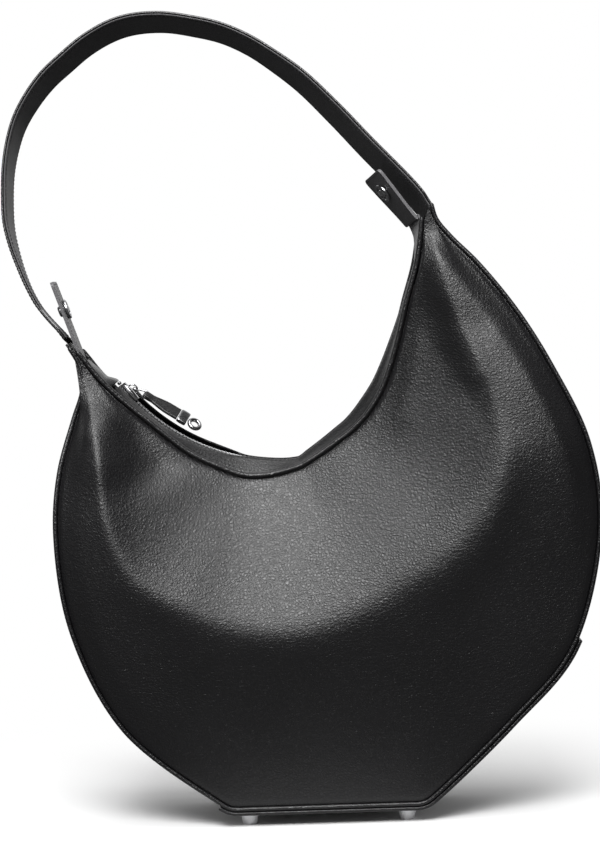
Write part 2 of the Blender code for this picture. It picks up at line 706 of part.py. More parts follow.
def make_pull():
    """Wire link, leather tongue, metal end and ring, all turning about the slider's eye."""
    eye, along, up = bridge_eye()
    tilt = math.radians(PULL_TILT_DEGREES)
    way = along * math.cos(tilt) + up * math.sin(tilt)
    rise = up * math.cos(tilt) - along * math.sin(tilt)
    across = np.array([0.0, 1.0, 0.0])
    # The link is a rounded rectangle of wire through the eye and through the tongue's neck
    corner = LINK_WIDTH / 6
    half = LINK_WIDTH / 2 - LINK_WIRE_RADIUS
    path = []
    sideways = []
    for a, b, start in ((0.0, -1.0, 180), (1.0, -1.0, 270), (1.0, 1.0, 0), (0.0, 1.0, 90)):
        middle = way * (corner if a == 0.0 else LINK_LENGTH - corner) + across * b * (half - corner)
        for step in range(4):
            turn = math.radians(start + step * 30)
            out = way * math.cos(turn) + across * math.sin(turn)
            path.append(eye + middle + out * corner)
            sideways.append(out)
    lift = np.broadcast_to(rise, (len(path), 3))
    round_tube("pull_link", np.array(path), np.array(sideways), lift, LINK_WIRE_RADIUS, "polished_metal",
               closed=True, pivot=eye)
    # The tongue widens from its neck to the metal end
    start = LINK_LENGTH - TONGUE_EYE_MARGIN
    loops = []
    for share, width_share, wall_share in ((0.0, 0.0, 1.3), (0.05, 0.0, 1.6), (0.12, 0.0, 1.5), (0.3, 0.45, 1.0),
                                           (0.65, 0.85, 1.0), (1.0, 1.0, 1.0)):
        half_width = (TONGUE_NECK_WIDTH + (TONGUE_END_WIDTH - TONGUE_NECK_WIDTH) * width_share) / 2
        half_wall = TONGUE_WALL / 2 * wall_share
        reach = start + TONGUE_LENGTH * share
        outline = ((-half_width, 0.0), (-half_width * 0.9, -half_wall), (half_width * 0.9, -half_wall),
                   (half_width, 0.0), (half_width * 0.9, half_wall), (-half_width * 0.9, half_wall))
        loops.append([eye + way * reach + across * y + rise * z for y, z in outline])
    tongue = rings("pull_tongue", np.array(loops), "strap_leather", pivot=eye)
    hole(tongue, "tongue_eye", eye + way * LINK_LENGTH, (0, 1, 0), TONGUE_EYE_RADIUS,
         TONGUE_END_WIDTH)
    end_start = start + TONGUE_LENGTH + GAP
    make_block("pull_end", eye + way * end_start, way, rise, PULL_END_LENGTH, PULL_END_WIDTH / 2,
               PULL_END_WALL / 2, "polished_metal", pivot=eye)
    ring_middle = eye + way * (end_start + PULL_END_LENGTH + GAP + PULL_RING_RADIUS + PULL_RING_WIRE)
    turns = np.arange(14) * 2 * math.pi / 14
    out = np.cos(turns)[:, None] * way + np.sin(turns)[:, None] * across
    round_tube("pull_ring", ring_middle + out * PULL_RING_RADIUS, out, np.broadcast_to(rise, out.shape),
               PULL_RING_WIRE, "polished_metal", closed=True, pivot=eye)


def strap_ends():
    """The two ends of the strap's base line in the XZ plane, each set in from the seam's end at its corner."""
    left = RIB_SIZES[0, 2:4] + np.array([STRAP_LEFT_IN, STRAP_LEFT_UP])
    right = RIB_SIZES[-1, 2:4] - np.array([STRAP_RIGHT_IN, STRAP_RIGHT_DOWN])
    return left, right


def strap_span():
    """Distance between the strap's two ends."""
    left, right = strap_ends()
    return np.linalg.norm(right - left)


def strap_axes():
    """The strap's root, the line through its ends, and its rising and forward directions."""
    left, right = strap_ends()
    x, z = unit(right - left)
    lean = math.radians(STRAP_LEAN_DEGREES)
    root = np.array([left[0], 0.0, left[1]])
    along = np.array([x, 0.0, z])
    upright = np.array([-z, 0.0, x])
    back = np.array([0.0, 1.0, 0.0])
    rising = upright * math.cos(lean) + back * math.sin(lean)
    forward = upright * math.sin(lean) - back * math.cos(lean)
    return root, along, upright, rising, forward


def strap_rows():
    """Rows along the strap: place on the line through its ends, rise above it, half width and twist.

    Each end is a half disc about the line where the strap bends, so that it turns on its seat.
    """
    half = STRAP_WIDTH / 2
    whole_span = strap_span()
    table = np.array([(whole_span * span, STRAP_RISE * rise, math.pi / 2 * twist)
                      for (span, rise), twist in zip(strap_line_shares, strap_twist_shares)])
    knots = np.concatenate([[0.0], np.cumsum(np.linalg.norm(np.diff(table[:, :2], axis=0), axis=1))])
    fine = np.linspace(0.0, knots[-1], 600)
    line = spline(table, knots, fine)
    top = int(np.argmax(line[:, 1]))
    rises = [STRAP_BEND_RISE - half * math.cos(share * math.pi / 2) for share in strap_end_turn_shares]
    rises.append(STRAP_BEND_RISE)
    left = np.interp(rises, line[:top, 1], fine[:top])
    right = np.interp(rises, line[:top:-1, 1], fine[:top:-1])[::-1]
    wanted = np.concatenate([left, np.linspace(left[-1], right[0], STRAP_SECTIONS)[1:-1], right])
    rows = spline(table, knots, wanted)
    short = np.maximum(STRAP_BEND_RISE - rows[:, 1], 0.0)
    width = np.sqrt(half ** 2 - short ** 2)
    return np.column_stack([rows[:, 0], rows[:, 1], width, rows[:, 2]])


def strap_layer(name, near, far, slot):
    """One layer of the strap between two depths below its outer face."""
    root, along, _upright, rising, forward = strap_axes()
    rows = strap_rows()
    tangent = unit(np.gradient(rows[:, :2], rows_run(rows), axis=0))
    inward = tangent[:, 1:2] * along - tangent[:, 0:1] * rising
    twist = rows[:, 3:4]
    wide = forward * np.cos(twist) - inward * np.sin(twist)
    thick = inward * np.cos(twist) + forward * np.sin(twist)
    line = root + rows[:, 0:1] * along + rows[:, 1:2] * rising
    across = np.linspace(1.0, -1.0, 5)
    spread = across[None, :, None] * rows[:, 2][:, None, None] * wide[:, None]
    upper = line[:, None] + spread + thick[:, None] * near
    lower = line[:, None] + spread + thick[:, None] * far
    sheet(name, upper, lower, slot, pivot=root + rising * STRAP_BEND_RISE)


def rows_run(rows):
    """Distance run along the strap at each of its rows."""
    return np.concatenate([[0.0], np.cumsum(np.linalg.norm(np.diff(rows[:, :2], axis=0), axis=1))])


def make_strap():
    """Outer leather and lining of the strap."""
    strap_layer("strap_outer", 0.0, STRAP_OUTER_WALL, "strap_leather")
    inner = STRAP_OUTER_WALL + GAP
    strap_layer("strap_lining", inner, inner + STRAP_LINING_WALL, "strap_lining")


def tab_frame(side):
    """Base place, direction to the tip, direction into the loop, length, twists and stud inset of a tab."""
    root, along, upright, _rising, _forward = strap_axes()
    if side == "left":
        inset = GAP + GUSSET_WALL + TAB_LEFT_SPACE + TAB_WALL / 2
        base = in_space(seam_points(np.array([TAB_LEFT_RIB]), inset)[0], np.zeros(1))[0]
        beside_strap = root + along * (STRAP_OUTER_WALL + GAP + STRAP_LINING_WALL + GAP + TAB_WALL / 2)
        way = unit(beside_strap - base)
        return base, way, np.array([way[2], 0.0, -way[0]]), TAB_LEFT_LENGTH, (0.0, 0.0), STUD_LEFT_INSET
    base_span, base_rise = tab_right_base_shares
    tip_span, tip_rise = tab_right_tip_shares
    base = root + along * strap_span() * base_span + upright * STRAP_RISE * base_rise
    tip = root + along * strap_span() * tip_span + upright * STRAP_RISE * tip_rise
    way = unit(tip - base)
    inward = np.cross(way, np.array([0.0, 1.0, 0.0]))
    twists = (math.radians(TAB_RIGHT_BASE_TWIST_DEGREES), math.radians(TAB_RIGHT_TIP_TWIST_DEGREES))
    return base, way, unit(inward), TAB_RIGHT_LENGTH, twists, STUD_RIGHT_INSET


def tab_turn(side, reach):
    """Width and wall directions of a tab at a reach from its base."""
    _base, _way, inward, length, twists, _inset = tab_frame(side)
    back = np.array([0.0, 1.0, 0.0])
    angle = twists[0] + (twists[1] - twists[0]) * smooth_step(reach / length)
    return back * math.cos(angle) + inward * math.sin(angle), inward * math.cos(angle) - back * math.sin(angle)


def make_tab(side):
    """A leather tab with its rounded tip and the stud's hole."""
    base, way, _inward, length, _twists, inset = tab_frame(side)
    corner = TAB_CORNER_RADIUS
    half = TAB_WIDTH / 2
    rows = []
    # The base edge is rounded so that the tab can bend beside the zip end
    for share in (0.0, 0.5, 1.0):
        turn = share * math.pi / 2
        rows.append((TAB_WALL / 2 * (1 - math.cos(turn)), half, max(math.sin(turn), 0.3)))
    straight = (length - corner - TAB_WALL / 2) / 4
    for k in range(1, 5):
        rows.append((TAB_WALL / 2 + straight * k, half, 1.0))
    for share in (0.4, 0.75, 1.0):
        turn = share * math.pi / 2
        rows.append((length - corner * (1 - math.sin(turn)), half - corner * (1 - math.cos(turn)), 1.0))
    across = np.linspace(-1.0, 1.0, 5)
    upper = []
    lower = []
    for reach, half_width, wall_share in rows:
        wide, thick = tab_turn(side, reach)
        line = base + way * reach
        upper.append([line + wide * half_width * a + thick * TAB_WALL / 2 * wall_share for a in across])
        lower.append([line + wide * half_width * a - thick * TAB_WALL / 2 * wall_share for a in across])
    tab = sheet(f"{side}_tab", np.array(upper), np.array(lower), "strap_leather", pivot=base)
    reach = length - inset
    thick = tab_turn(side, reach)[1]
    hole(tab, f"{side}_tab_hole", base + way * reach, thick, STUD_HOLE_RADIUS, TAB_WALL / 2 + CUT_OVERRUN)
    make_stud(side, base + way * reach, thick, base)


def make_stud(side, centre, thick, pivot):
    """A cap with a raised rim on the inner side, its shank through the tab, and a post on the outer side."""
    face = TAB_WALL / 2 + GAP
    radius = STUD_CAP_RADIUS
    cap_profile = (
        (STUD_SHANK_RADIUS, -TAB_WALL / 2),
        (STUD_SHANK_RADIUS, face),
        (radius, face),
        (radius, face + STUD_CAP_HEIGHT * 0.55),
        (radius * 0.86, face + STUD_CAP_HEIGHT * 0.8),
        (radius * 0.7, face + STUD_CAP_HEIGHT * 0.62),
        (radius * 0.5, face + STUD_CAP_HEIGHT * 0.7),
        (radius * 0.3, face + STUD_CAP_HEIGHT),
    )
    turned(f"{side}_stud_cap", centre, thick, cap_profile, "polished_metal", pivot=pivot)
    post_profile = (
        (STUD_POST_RADIUS, face),
        (STUD_POST_RADIUS, face + STUD_POST_HEIGHT * 0.7),
        (STUD_POST_RADIUS * 0.7, face + STUD_POST_HEIGHT),
    )
    turned(f"{side}_stud_post", centre, -thick, post_profile, "polished_metal", pivot=pivot)


def make_board():
    """The stiff board on the gusset's flat base."""
    bottom = base_level() + GAP + GUSSET_WALL + GAP
    corner = BOARD_CORNER_RADIUS
    left, right = (BAG_WIDTH * share for share in board_end_shares)
    outline = []
    for x, y, start in ((right - corner, BOARD_HALF_DEPTH - corner, 0),
                        (left + corner, BOARD_HALF_DEPTH - corner, 90),
                        (left + corner, corner - BOARD_HALF_DEPTH, 180),
                        (right - corner, corner - BOARD_HALF_DEPTH, 270)):
        for step in range(5):
            turn = math.radians(start + step * 22.5)
            outline.append((x + corner * math.cos(turn), y + corner * math.sin(turn)))
    loops = np.array([[(x, y, z) for x, y in outline] for z in (bottom, bottom + BOARD_WALL)])
    board = rings("base_board", loops, "board")
    cut_foot_holes(board, "base_board")


def make_feet():
    """Conical feet with shanks through the base, and a washer on the board round each shank."""
    overlay_bottom = base_level() - GAP - OVERLAY_WALL
    foot_top = overlay_bottom - GAP
    board_top = base_level() + GAP + GUSSET_WALL + GAP + BOARD_WALL
    washer_bottom = board_top + GAP
    shank_top = washer_bottom + WASHER_WALL + FOOT_SHANK_PROUD
    profile = (
        (FOOT_BOTTOM_RADIUS - FOOT_EDGE, 0.0),
        (FOOT_BOTTOM_RADIUS, FOOT_EDGE),
        (FOOT_TOP_RADIUS, foot_top - FOOT_EDGE),
        (FOOT_TOP_RADIUS - FOOT_EDGE / 2, foot_top),
        (FOOT_SHANK_RADIUS, foot_top),
        (FOOT_SHANK_RADIUS, shank_top),
    )
    for name, x, y in foot_places():
        turned(f"foot_{name}", (x, y, 0.0), (0, 0, 1), profile, "satin_metal")
        cosines, sines = circle(ROUND_SIDES)
        loops = []
        for radius, height in ((FOOT_HOLE_RADIUS, 0.0), (WASHER_RADIUS, 0.0), (WASHER_RADIUS, WASHER_WALL),
                               (FOOT_HOLE_RADIUS, WASHER_WALL)):
            loops.append(np.stack([x + radius * cosines, y + radius * sines,
                                   np.full(ROUND_SIDES, washer_bottom + height)], axis=1))
        rings(f"washer_{name}", np.array(loops), "satin_metal", closed=True)


def make_lining():
    """The loose cloth lining, open along the zip: front side, bottom and back side in one sheet."""
    places = rib_places(*LINING_RIBS)[::2]
    top_share = 0.03
    shares = np.linspace(top_share, 1.0, 7)
    rib = at_ribs(places)
    mouth = rib[:, 0:2]
    seam, _normals = seam_points(places, LINING_INSET)
    flat, depth = panel_middle(places, shares)
    edge = seam_points(places, 2 * PIPING_RADIUS + GAP)[0]
    flat = mouth[:, None] + (seam - mouth)[:, None] * shares[None, :, None]
    reach = np.linalg.norm(seam - mouth, axis=1) / np.linalg.norm(edge - mouth, axis=1)
    along = shares[None, :] * reach[:, None]
    outer_depth = np.empty_like(depth)
    for k in range(len(places)):
        outer_depth[k] = panel_middle(places[k:k + 1], along[k])[1][0]
    outer_depth = outer_depth - PANEL_WALL / 2 - LINING_LOOSENESS
    front = in_space(flat, -outer_depth)
    middle = in_space(seam[:, None], outer_depth[:, -1:] * np.array([-0.5, 0.0, 0.5])[None, :])
    back = in_space(flat, outer_depth)[:, ::-1]
    outer = np.concatenate([front, middle, back], axis=1)
    inner_flat_front = in_space(flat, -(outer_depth - LINING_WALL))
    lift = mouth - seam
    lift = lift / np.linalg.norm(lift, axis=1, keepdims=True) * LINING_WALL
    inner_flat_front[:, -1] = in_space(seam + lift, -(outer_depth[:, -1] - LINING_WALL))
    inner_middle = in_space((seam + lift)[:, None], outer_depth[:, -1:] * np.array([-0.5, 0.0, 0.5])[None, :])
    inner_back = in_space(flat, outer_depth - LINING_WALL)
    inner_back[:, -1] = in_space(seam + lift, outer_depth[:, -1] - LINING_WALL)
    inner = np.concatenate([inner_flat_front, inner_middle, inner_back[:, ::-1]], axis=1)
    sheet("lining", outer, inner, "lining_cloth")


def main():
    clear_scene()
    make_panel("front_panel", -1.0)
    make_panel("back_panel", 1.0)
    make_gusset()
    make_overlay()
    make_piping("front_piping", -1.0)
    make_piping("back_piping", 1.0)
    make_binding("front_binding", -1.0)
    make_binding("back_binding", 1.0)
    make_zip_panel()
    make_slider()
    make_pull()
    make_strap()
    make_tab("left")
    make_tab("right")
    make_board()
    make_feet()
    make_lining()


main()
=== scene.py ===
"""Looks of a crescent shoulder handbag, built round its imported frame.

Every surface is worked out with numpy from the same ribs, arcs and lines that shape the frame: the body is a
loft whose ribs run from the mouth to the outer seam, and its places are shares of the bag's width, height and
depth. +X is the right-hand side of a front view, -Y is the front, +Z is up.
"""

import math

import bpy
import numpy as np
from bpy.props import FloatProperty, FloatVectorProperty, IntProperty, PointerProperty
from mathutils import Matrix, Vector


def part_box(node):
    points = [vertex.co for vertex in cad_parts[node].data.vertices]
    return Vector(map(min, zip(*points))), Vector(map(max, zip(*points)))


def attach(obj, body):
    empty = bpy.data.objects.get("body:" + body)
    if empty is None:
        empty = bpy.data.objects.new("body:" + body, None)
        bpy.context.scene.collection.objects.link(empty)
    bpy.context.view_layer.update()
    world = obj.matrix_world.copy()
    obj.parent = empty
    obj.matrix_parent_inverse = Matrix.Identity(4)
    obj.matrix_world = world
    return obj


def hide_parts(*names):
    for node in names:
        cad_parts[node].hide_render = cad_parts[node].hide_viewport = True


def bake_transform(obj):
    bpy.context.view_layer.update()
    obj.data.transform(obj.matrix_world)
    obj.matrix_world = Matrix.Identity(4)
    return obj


bl_info = {
    "name": "Crescent shoulder handbag",
    "version": (1, 0, 0),
    "blender": (4, 5, 0),
    "location": "3D Viewport > Sidebar > Handbag",
    "description": "Leather body, zip, strap, tabs and metal parts of a crescent handbag over its packed frame",
    "category": "Object",
}

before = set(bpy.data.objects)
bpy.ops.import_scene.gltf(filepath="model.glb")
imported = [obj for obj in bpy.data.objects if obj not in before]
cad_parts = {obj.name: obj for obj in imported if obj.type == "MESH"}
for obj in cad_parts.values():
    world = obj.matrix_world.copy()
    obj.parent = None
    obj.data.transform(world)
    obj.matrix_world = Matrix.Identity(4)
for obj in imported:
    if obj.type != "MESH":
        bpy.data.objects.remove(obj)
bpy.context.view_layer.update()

MM = 0.001
ACROSS = np.array([0.0, 1.0, 0.0])
SIDES = (("front", -1.0), ("back", 1.0))

# Overall sizes of the leather body
BAG_WIDTH = 350 * MM
BAG_HEIGHT = 390 * MM
BAG_DEPTH = 120 * MM
MOUTH_DEPTH = 41 * MM

# Leather and cloth thicknesses
PANEL_WALL = 1.8 * MM
GUSSET_WALL = 2.0 * MM
OVERLAY_WALL = 2.2 * MM
FACING_WALL = 1.4 * MM
FACING_RIM = 0.35 * MM
FACING_FRONT_TURN = 1.8 * MM
FACING_BACK_TURN = 4.0 * MM
LINING_WALL = 0.8 * MM
GAP = 0.3 * MM

# Distances between the ribs or cross lines of a surface
PANEL_PITCH = 3.6 * MM
OVERLAY_PITCH = 3.0 * MM
PIPING_PITCH = 1.3 * MM
BINDING_PITCH = 0.8 * MM
LINING_PITCH = 6 * MM
STRIP_PITCH = 1.2 * MM
END_PITCH = 1.0 * MM

# A body panel's folds fade out before mouth and seam, and are weaker on the short ribs of the corners
FOLD_MOUTH_EASE = 18 * MM
FOLD_SEAM_EASE = 14 * MM
FOLD_CORNER_SHARE = 0.35
SHORT_RIB = 12 * MM
SHORT_RIB_EASE = 40 * MM

# How far a body panel's edges turn in, and over what widths
PANEL_EDGE_DROP = 0.9 * MM
PANEL_SEAM_TURN = 3 * MM
PANEL_MOUTH_TURN = 2.5 * MM

# Widths over which the leather is worn beside an edge, and radii of the rims
PANEL_WORN = 5 * MM
GUSSET_WORN = 4 * MM
OVERLAY_WORN = 3 * MM
STRIP_WORN = 2 * MM
STRAP_WORN = 3.5 * MM
TAB_WORN = 3 * MM
GUSSET_RIM = 0.4 * MM
OVERLAY_RIM = 0.6 * MM
CORNER_RIM = 0.3 * MM
STRAP_RIM = 0.35 * MM
TAB_RIM = 0.4 * MM

# How far the flanks stand out beside the seam, and over what widths they rise and fade to the belly
FLANK_ROLL = 17 * MM
FLANK_FADE = 46 * MM
FLANK_RIGHT_RISE = 5.0 * MM
FLANK_LEFT_RISE = 1.6 * MM

FLOOR_WIDTH = 60.0
# Lamps: name, place, width and height in metres; all face one place in the bag
LAMP_TARGET = (0.0, 0.0, 0.22)
LAMPS = (("key", (-0.15, -1.40, 1.45), 0.95, 0.9), ("top", (0.0, -0.35, 2.1), 1.2, 0.9),
         ("left", (-1.5, -0.7, 0.75), 0.35, 1.3), ("right", (1.45, 0.15, 0.95), 0.4, 1.2))

# Seams
PIPING_RADIUS = 1.5 * MM
BINDING_RADIUS = 1.8 * MM
CORD_SIDES = 16
DOME_STEPS = 4
TURN_WIDTH = 5 * MM
STITCH_INSET = 2.2 * MM
FOLD_STITCH_INSET = 1.6 * MM
OVERLAY_STITCH_INSET = 3.2 * MM

# Strap and the line through its two ends
STRAP_WIDTH = 38 * MM
STRAP_OUTER_WALL = 1.8 * MM
STRAP_LINING_WALL = 1.4 * MM
STRAP_LEFT_IN = 1.4 * MM
STRAP_LEFT_UP = 0.2 * MM
STRAP_RIGHT_IN = 3.7 * MM
STRAP_RIGHT_DOWN = 1.5 * MM
STRAP_RISE = 187 * MM
STRAP_LEAN_DEGREES = 9.0
STRAP_BEND_RISE = 19.6 * MM
STRAP_BEND_BELOW = 14 * MM
STRAP_BEND_ABOVE = 22 * MM
STRAP_STITCH_INSET = 3.0 * MM
STRAP_STITCH_LIFT = 0.10 * MM
STRAP_GROOVE = 0.16 * MM
STRAP_GROOVE_WIDTH = 0.55 * MM
STRAP_EDGE_FALL = 0.55 * MM
STRAP_LINING_MARGIN = 0.6 * MM

# Zip
ZIP_STOP_LENGTH = 2.4 * MM
ZIP_END_SPACE = 3.6 * MM
TAPE_HALF_WIDTH = 8.5 * MM
TAPE_WALL = 0.6 * MM
TEETH_HALF_WIDTH = 3.0 * MM
TEETH_HEIGHT = 2.6 * MM

# Zip slider and pull
SLIDER_LENGTH = 14 * MM
SLIDER_WIDTH = 10.5 * MM
SLIDER_TOP_WALL = 1.8 * MM
SLIDER_LIFT = 0.5 * MM
SLIDER_LIP = 1.1 * MM
SLIDER_LIP_WALL = 1.2 * MM
SLIDER_SHOULDER = 1.5 * MM
SLIDER_END_FALL = 0.35 * MM
BRIDGE_WIDTH = 3 * MM
BRIDGE_LENGTH = 8 * MM
BRIDGE_WALL = 1.1 * MM
BRIDGE_EYE_RADIUS = 1.2 * MM
BRIDGE_EYE_HEIGHT = 1.7 * MM
BRIDGE_CROWN = 1.0 * MM
LINK_WIRE_RADIUS = 0.75 * MM
LINK_LENGTH = 9 * MM
LINK_WIDTH = 8.4 * MM
TONGUE_LENGTH = 26.5 * MM
TONGUE_NECK_WIDTH = 5 * MM
TONGUE_END_WIDTH = 9.5 * MM
TONGUE_WALL = 2.4 * MM
TONGUE_EYE_MARGIN = 1.9 * MM
TONGUE_STITCH_INSET = 1.3 * MM
TONGUE_STITCH_PITCH = 1.9 * MM
TONGUE_STITCH_LENGTH = 1.4 * MM
PULL_END_LENGTH = 6.5 * MM
PULL_END_WIDTH = 10.5 * MM
PULL_END_WALL = 3.4 * MM
PULL_RING_RADIUS = 3.6 * MM
PULL_RING_WIRE = 1.3 * MM
PULL_TILT_DEGREES = 17.0
PULL_ROLL_DEGREES = 42.0

# Corner tabs and their studs
TAB_WALL = 2.0 * MM
TAB_WIDTH = 30 * MM
TAB_LEFT_LENGTH = 54 * MM
TAB_RIGHT_LENGTH = 40.8 * MM
TAB_LEFT_SPACE = 0.2 * MM
CORNER_LAP = 2.4 * MM
CROSS_SEAM_ROW = -8
TAB_CORNER_RADIUS = 3 * MM
TAB_RIGHT_BASE_TWIST_DEGREES = 14.0
TAB_RIGHT_TIP_TWIST_DEGREES = 20.0
TAB_BEND_LENGTH = 16 * MM
TAB_STITCH_INSET = 1.7 * MM
TAB_STITCH_START = 5 * MM
TAB_STITCH_SINK = 0.06 * MM
TAB_GROOVE = 0.12 * MM
TAB_GROOVE_WIDTH = 0.5 * MM
STUD_LEFT_INSET = 19.5 * MM
STUD_RIGHT_INSET = 13.5 * MM
STUD_SHANK_RADIUS = 2.0 * MM
STUD_CAP_RADIUS = 6.5 * MM
STUD_CAP_HEIGHT = 2.6 * MM
STUD_POST_RADIUS = 3.6 * MM
STUD_POST_HEIGHT = 2.2 * MM

# Feet
FOOT_TOP_RADIUS = 6.2 * MM
FOOT_BOTTOM_RADIUS = 4.6 * MM
FOOT_EDGE = 0.6 * MM
FOOT_SHANK_RADIUS = 2.0 * MM
FOOT_X_SHARES = (-0.1143, 0.1749)
FOOT_Y = 32 * MM

# Lining
LINING_INSET = 9 * MM
LINING_LOOSENESS = 1.8 * MM

# One row for each rib of the crescent, from the left corner round the bottom to the right corner:
# mouth x, mouth z, seam x, seam z as shares of the bag's width and height, the seam's half depth and the
# belly's extra depth as shares of half the bag's depth, the ridge's place between mouth and seam,
# and the zip's crown above the mouth edge as a share of the mouth's depth.
RIB_SHARES = np.array((
    (-0.4131, 0.7867, -0.4271, 0.7972, 0.340, 0.000, 0.50, 0.030),
    (-0.4043, 0.7769, -0.4149, 0.7795, 0.340, 0.000, 0.50, 0.040),
    (-0.3951, 0.7662, -0.4057, 0.7636, 0.340, 0.000, 0.50, 0.060),
    (-0.3826, 0.7510, -0.4011, 0.7446, 0.350, 0.005, 0.50, 0.100),
    (-0.3651, 0.7321, -0.4017, 0.7195, 0.370, 0.020, 0.50, 0.120),
    (-0.3371, 0.7064, -0.4183, 0.6754, 0.410, 0.055, 0.55, 0.140),
    (-0.2789, 0.6610, -0.4457, 0.5895, 0.575, 0.175, 0.60, 0.190),
    (-0.2143, 0.6131, -0.4551, 0.4872, 0.690, 0.265, 0.66, 0.220),
    (-0.1514, 0.5831, -0.4300, 0.3269, 0.755, 0.350, 0.64, 0.230),
    (-0.1114, 0.5692, -0.3409, 0.1641, 0.770, 0.430, 0.54, 0.220),
    (-0.0800, 0.5667, -0.1771, 0.0431, 0.770, 0.455, 0.50, 0.200),
    (-0.0657, 0.5672, -0.1489, 0.0279, 0.770, 0.460, 0.50, 0.195),
    (-0.0580, 0.5679, -0.1351, 0.0264, 0.770, 0.460, 0.49, 0.190),
    (-0.0500, 0.5692, -0.1200, 0.0264, 0.770, 0.465, 0.49, 0.190),
    (-0.0229, 0.5744, 0.0229, 0.0264, 0.770, 0.470, 0.48, 0.170),
    (0.0051, 0.5826, 0.1800, 0.0264, 0.770, 0.470, 0.46, 0.155),
    (0.0091, 0.5846, 0.1960, 0.0264, 0.770, 0.470, 0.46, 0.150),
    (0.0140, 0.5872, 0.2120, 0.0303, 0.770, 0.470, 0.46, 0.145),
    (0.0200, 0.5905, 0.2320, 0.0436, 0.770, 0.460, 0.46, 0.145),
    (0.0460, 0.6051, 0.3691, 0.1579, 0.770, 0.445, 0.47, 0.155),
    (0.0771, 0.6244, 0.4851, 0.2759, 0.770, 0.420, 0.52, 0.170),
    (0.1060, 0.6446, 0.5429, 0.4721, 0.740, 0.360, 0.62, 0.180),
    (0.1340, 0.6723, 0.5271, 0.6141, 0.690, 0.280, 0.62, 0.195),
    (0.1629, 0.7169, 0.4660, 0.7390, 0.600, 0.190, 0.60, 0.170),
    (0.1874, 0.7808, 0.4051, 0.8331, 0.505, 0.120, 0.55, 0.115),
    (0.2080, 0.8500, 0.3371, 0.9131, 0.420, 0.054, 0.50, 0.055),
    (0.2286, 0.9128, 0.2900, 0.9574, 0.360, 0.018, 0.50, 0.065),
    (0.2371, 0.9577, 0.2651, 0.9862, 0.340, 0.004, 0.50, 0.130),
    (0.2406, 0.9862, 0.2571, 1.0097, 0.340, 0.000, 0.50, 0.170),
))
FRAME_SOFTNESS_SHARE = 0.16

# Places along the ribs, counted in ribs from the left corner
GUSSET_RIBS = (0.03, 28.0)
PANEL_RIBS = (0.5, 27.95)
BINDING_RIBS = (0.7, 27.95)
OVERLAY_RIBS = (10.3, 20.1)
LINING_RIBS = (5.0, 25.4)
ZIP_RIBS = (4.74, 25.5)
ZIP_END_RIBS = (1.95, 26.3)
ZIP_ARC_THROUGH = (5.3, 7.5, 14.0)
TAB_LEFT_RIB = 1.82
# Where something eases in and out along the ribs: start and end of its rise, start and end of its fall
ZIP_ARC_RIBS = (3.9, 4.5, 12.5, 19.0)
BASE_RIBS = (10.0, 11.5, 16.5, 18.0)
BELLY_RIBS = (8.0, 11.0, 20.0, 23.0)
FLANK_LEFT_RIBS = (4.2, 5.7, 8.5, 10.0)
FLANK_RIGHT_RIBS = (20.3, 22.1, 25.4, 27.0)

# The middle of the strap's outer face, left end to right end: shares of the span and of the rise. The last two
# points carry the right end on behind the corner.
STRAP_LINE_SHARES = np.array((
    (-0.0044, 0.0032), (-0.0133, 0.0412), (-0.0298, 0.0936), (-0.0456, 0.1551),
    (-0.0544, 0.2246), (-0.0573, 0.2995), (-0.0560, 0.3743), (-0.0484, 0.4599),
    (-0.0234, 0.5690), (0.0048, 0.6597), (0.0328, 0.7257), (0.0756, 0.8009),
    (0.1259, 0.8592), (0.1890, 0.9120), (0.2455, 0.9427), (0.3189, 0.9767),
    (0.4192, 0.9922), (0.5247, 0.9578), (0.6016, 0.9018), (0.6651, 0.8435),
    (0.7223, 0.7671), (0.7726, 0.6753), (0.8122, 0.5920), (0.8683, 0.4328),
    (0.9228, 0.2570), (0.9542, 0.1617), (0.9730, 0.1041), (0.9880, 0.0537),
    (0.9990, 0.0032), (1.0035, -0.0280),
))
# The strap's twist at those points, as shares of a right angle
STRAP_TWIST_SHARES = np.array((
    0.000, -0.003, -0.011, -0.022, -0.033, -0.028, -0.011, 0.000, 0.000,
    0.003, 0.011, 0.022, 0.036, 0.047, 0.051, 0.051, 0.056, 0.061,
    0.067, 0.072, 0.083, 0.100, 0.117, 0.133, 0.139, 0.139, 0.136,
    0.133, 0.130, 0.128,
))
STRAP_END_TURN_SHARE = 0.12
# How far the strap runs on behind the right corner
STRAP_RIGHT_TAIL = 5.0 * MM
TAB_RIGHT_BASE_SHARES = (0.9516, -0.0345)
TAB_RIGHT_TIP_SHARES = (0.8968, 0.172)

# Soft folds of a body panel: start x, start z, end x, end z and half width in mm, and height in mm,
# where a negative height is a hollow. They fan out from the two corners and lie along the belly.
PANEL_FOLDS = (
    (-142, 292, -139, 256, 6, 1.8),
    (-133, 288, -127, 236, 20, 4.0),
    (-104, 256, -92, 230, 22, -3.2),
    (84, 372, 110, 286, 10, 1.5),
    (74, 318, 66, 258, 9, 0.6),
    (90, 322, 118, 316, 10, -0.6),
    (90, 158, 132, 232, 20, 1.8),
    (172, 225, 148, 280, 14, 0.6),
    (-118, 160, -2, 118, 15, 0.6),
)


def share_setting(name, text, value, most=1.0, least=0.0):
    """A setting that is a share or a level."""
    return FloatProperty(name=name, description=text, default=value, min=least, max=most, subtype="FACTOR")


def length_setting(name, text, value, most, least=0.0):
    """A setting in metres."""
    return FloatProperty(name=name, description=text, default=value, min=least, max=most, unit="LENGTH")


def angle_setting(name, text, degrees):
    """A setting that is an angle."""
    return FloatProperty(name=name, description=text, default=math.radians(degrees), min=-1.5, max=1.5,
                         subtype="ANGLE")


def power_setting(name, text, value):
    """The power of a lamp."""
    return FloatProperty(name=name, description=text, default=value, min=0.0, max=200.0, unit="POWER")


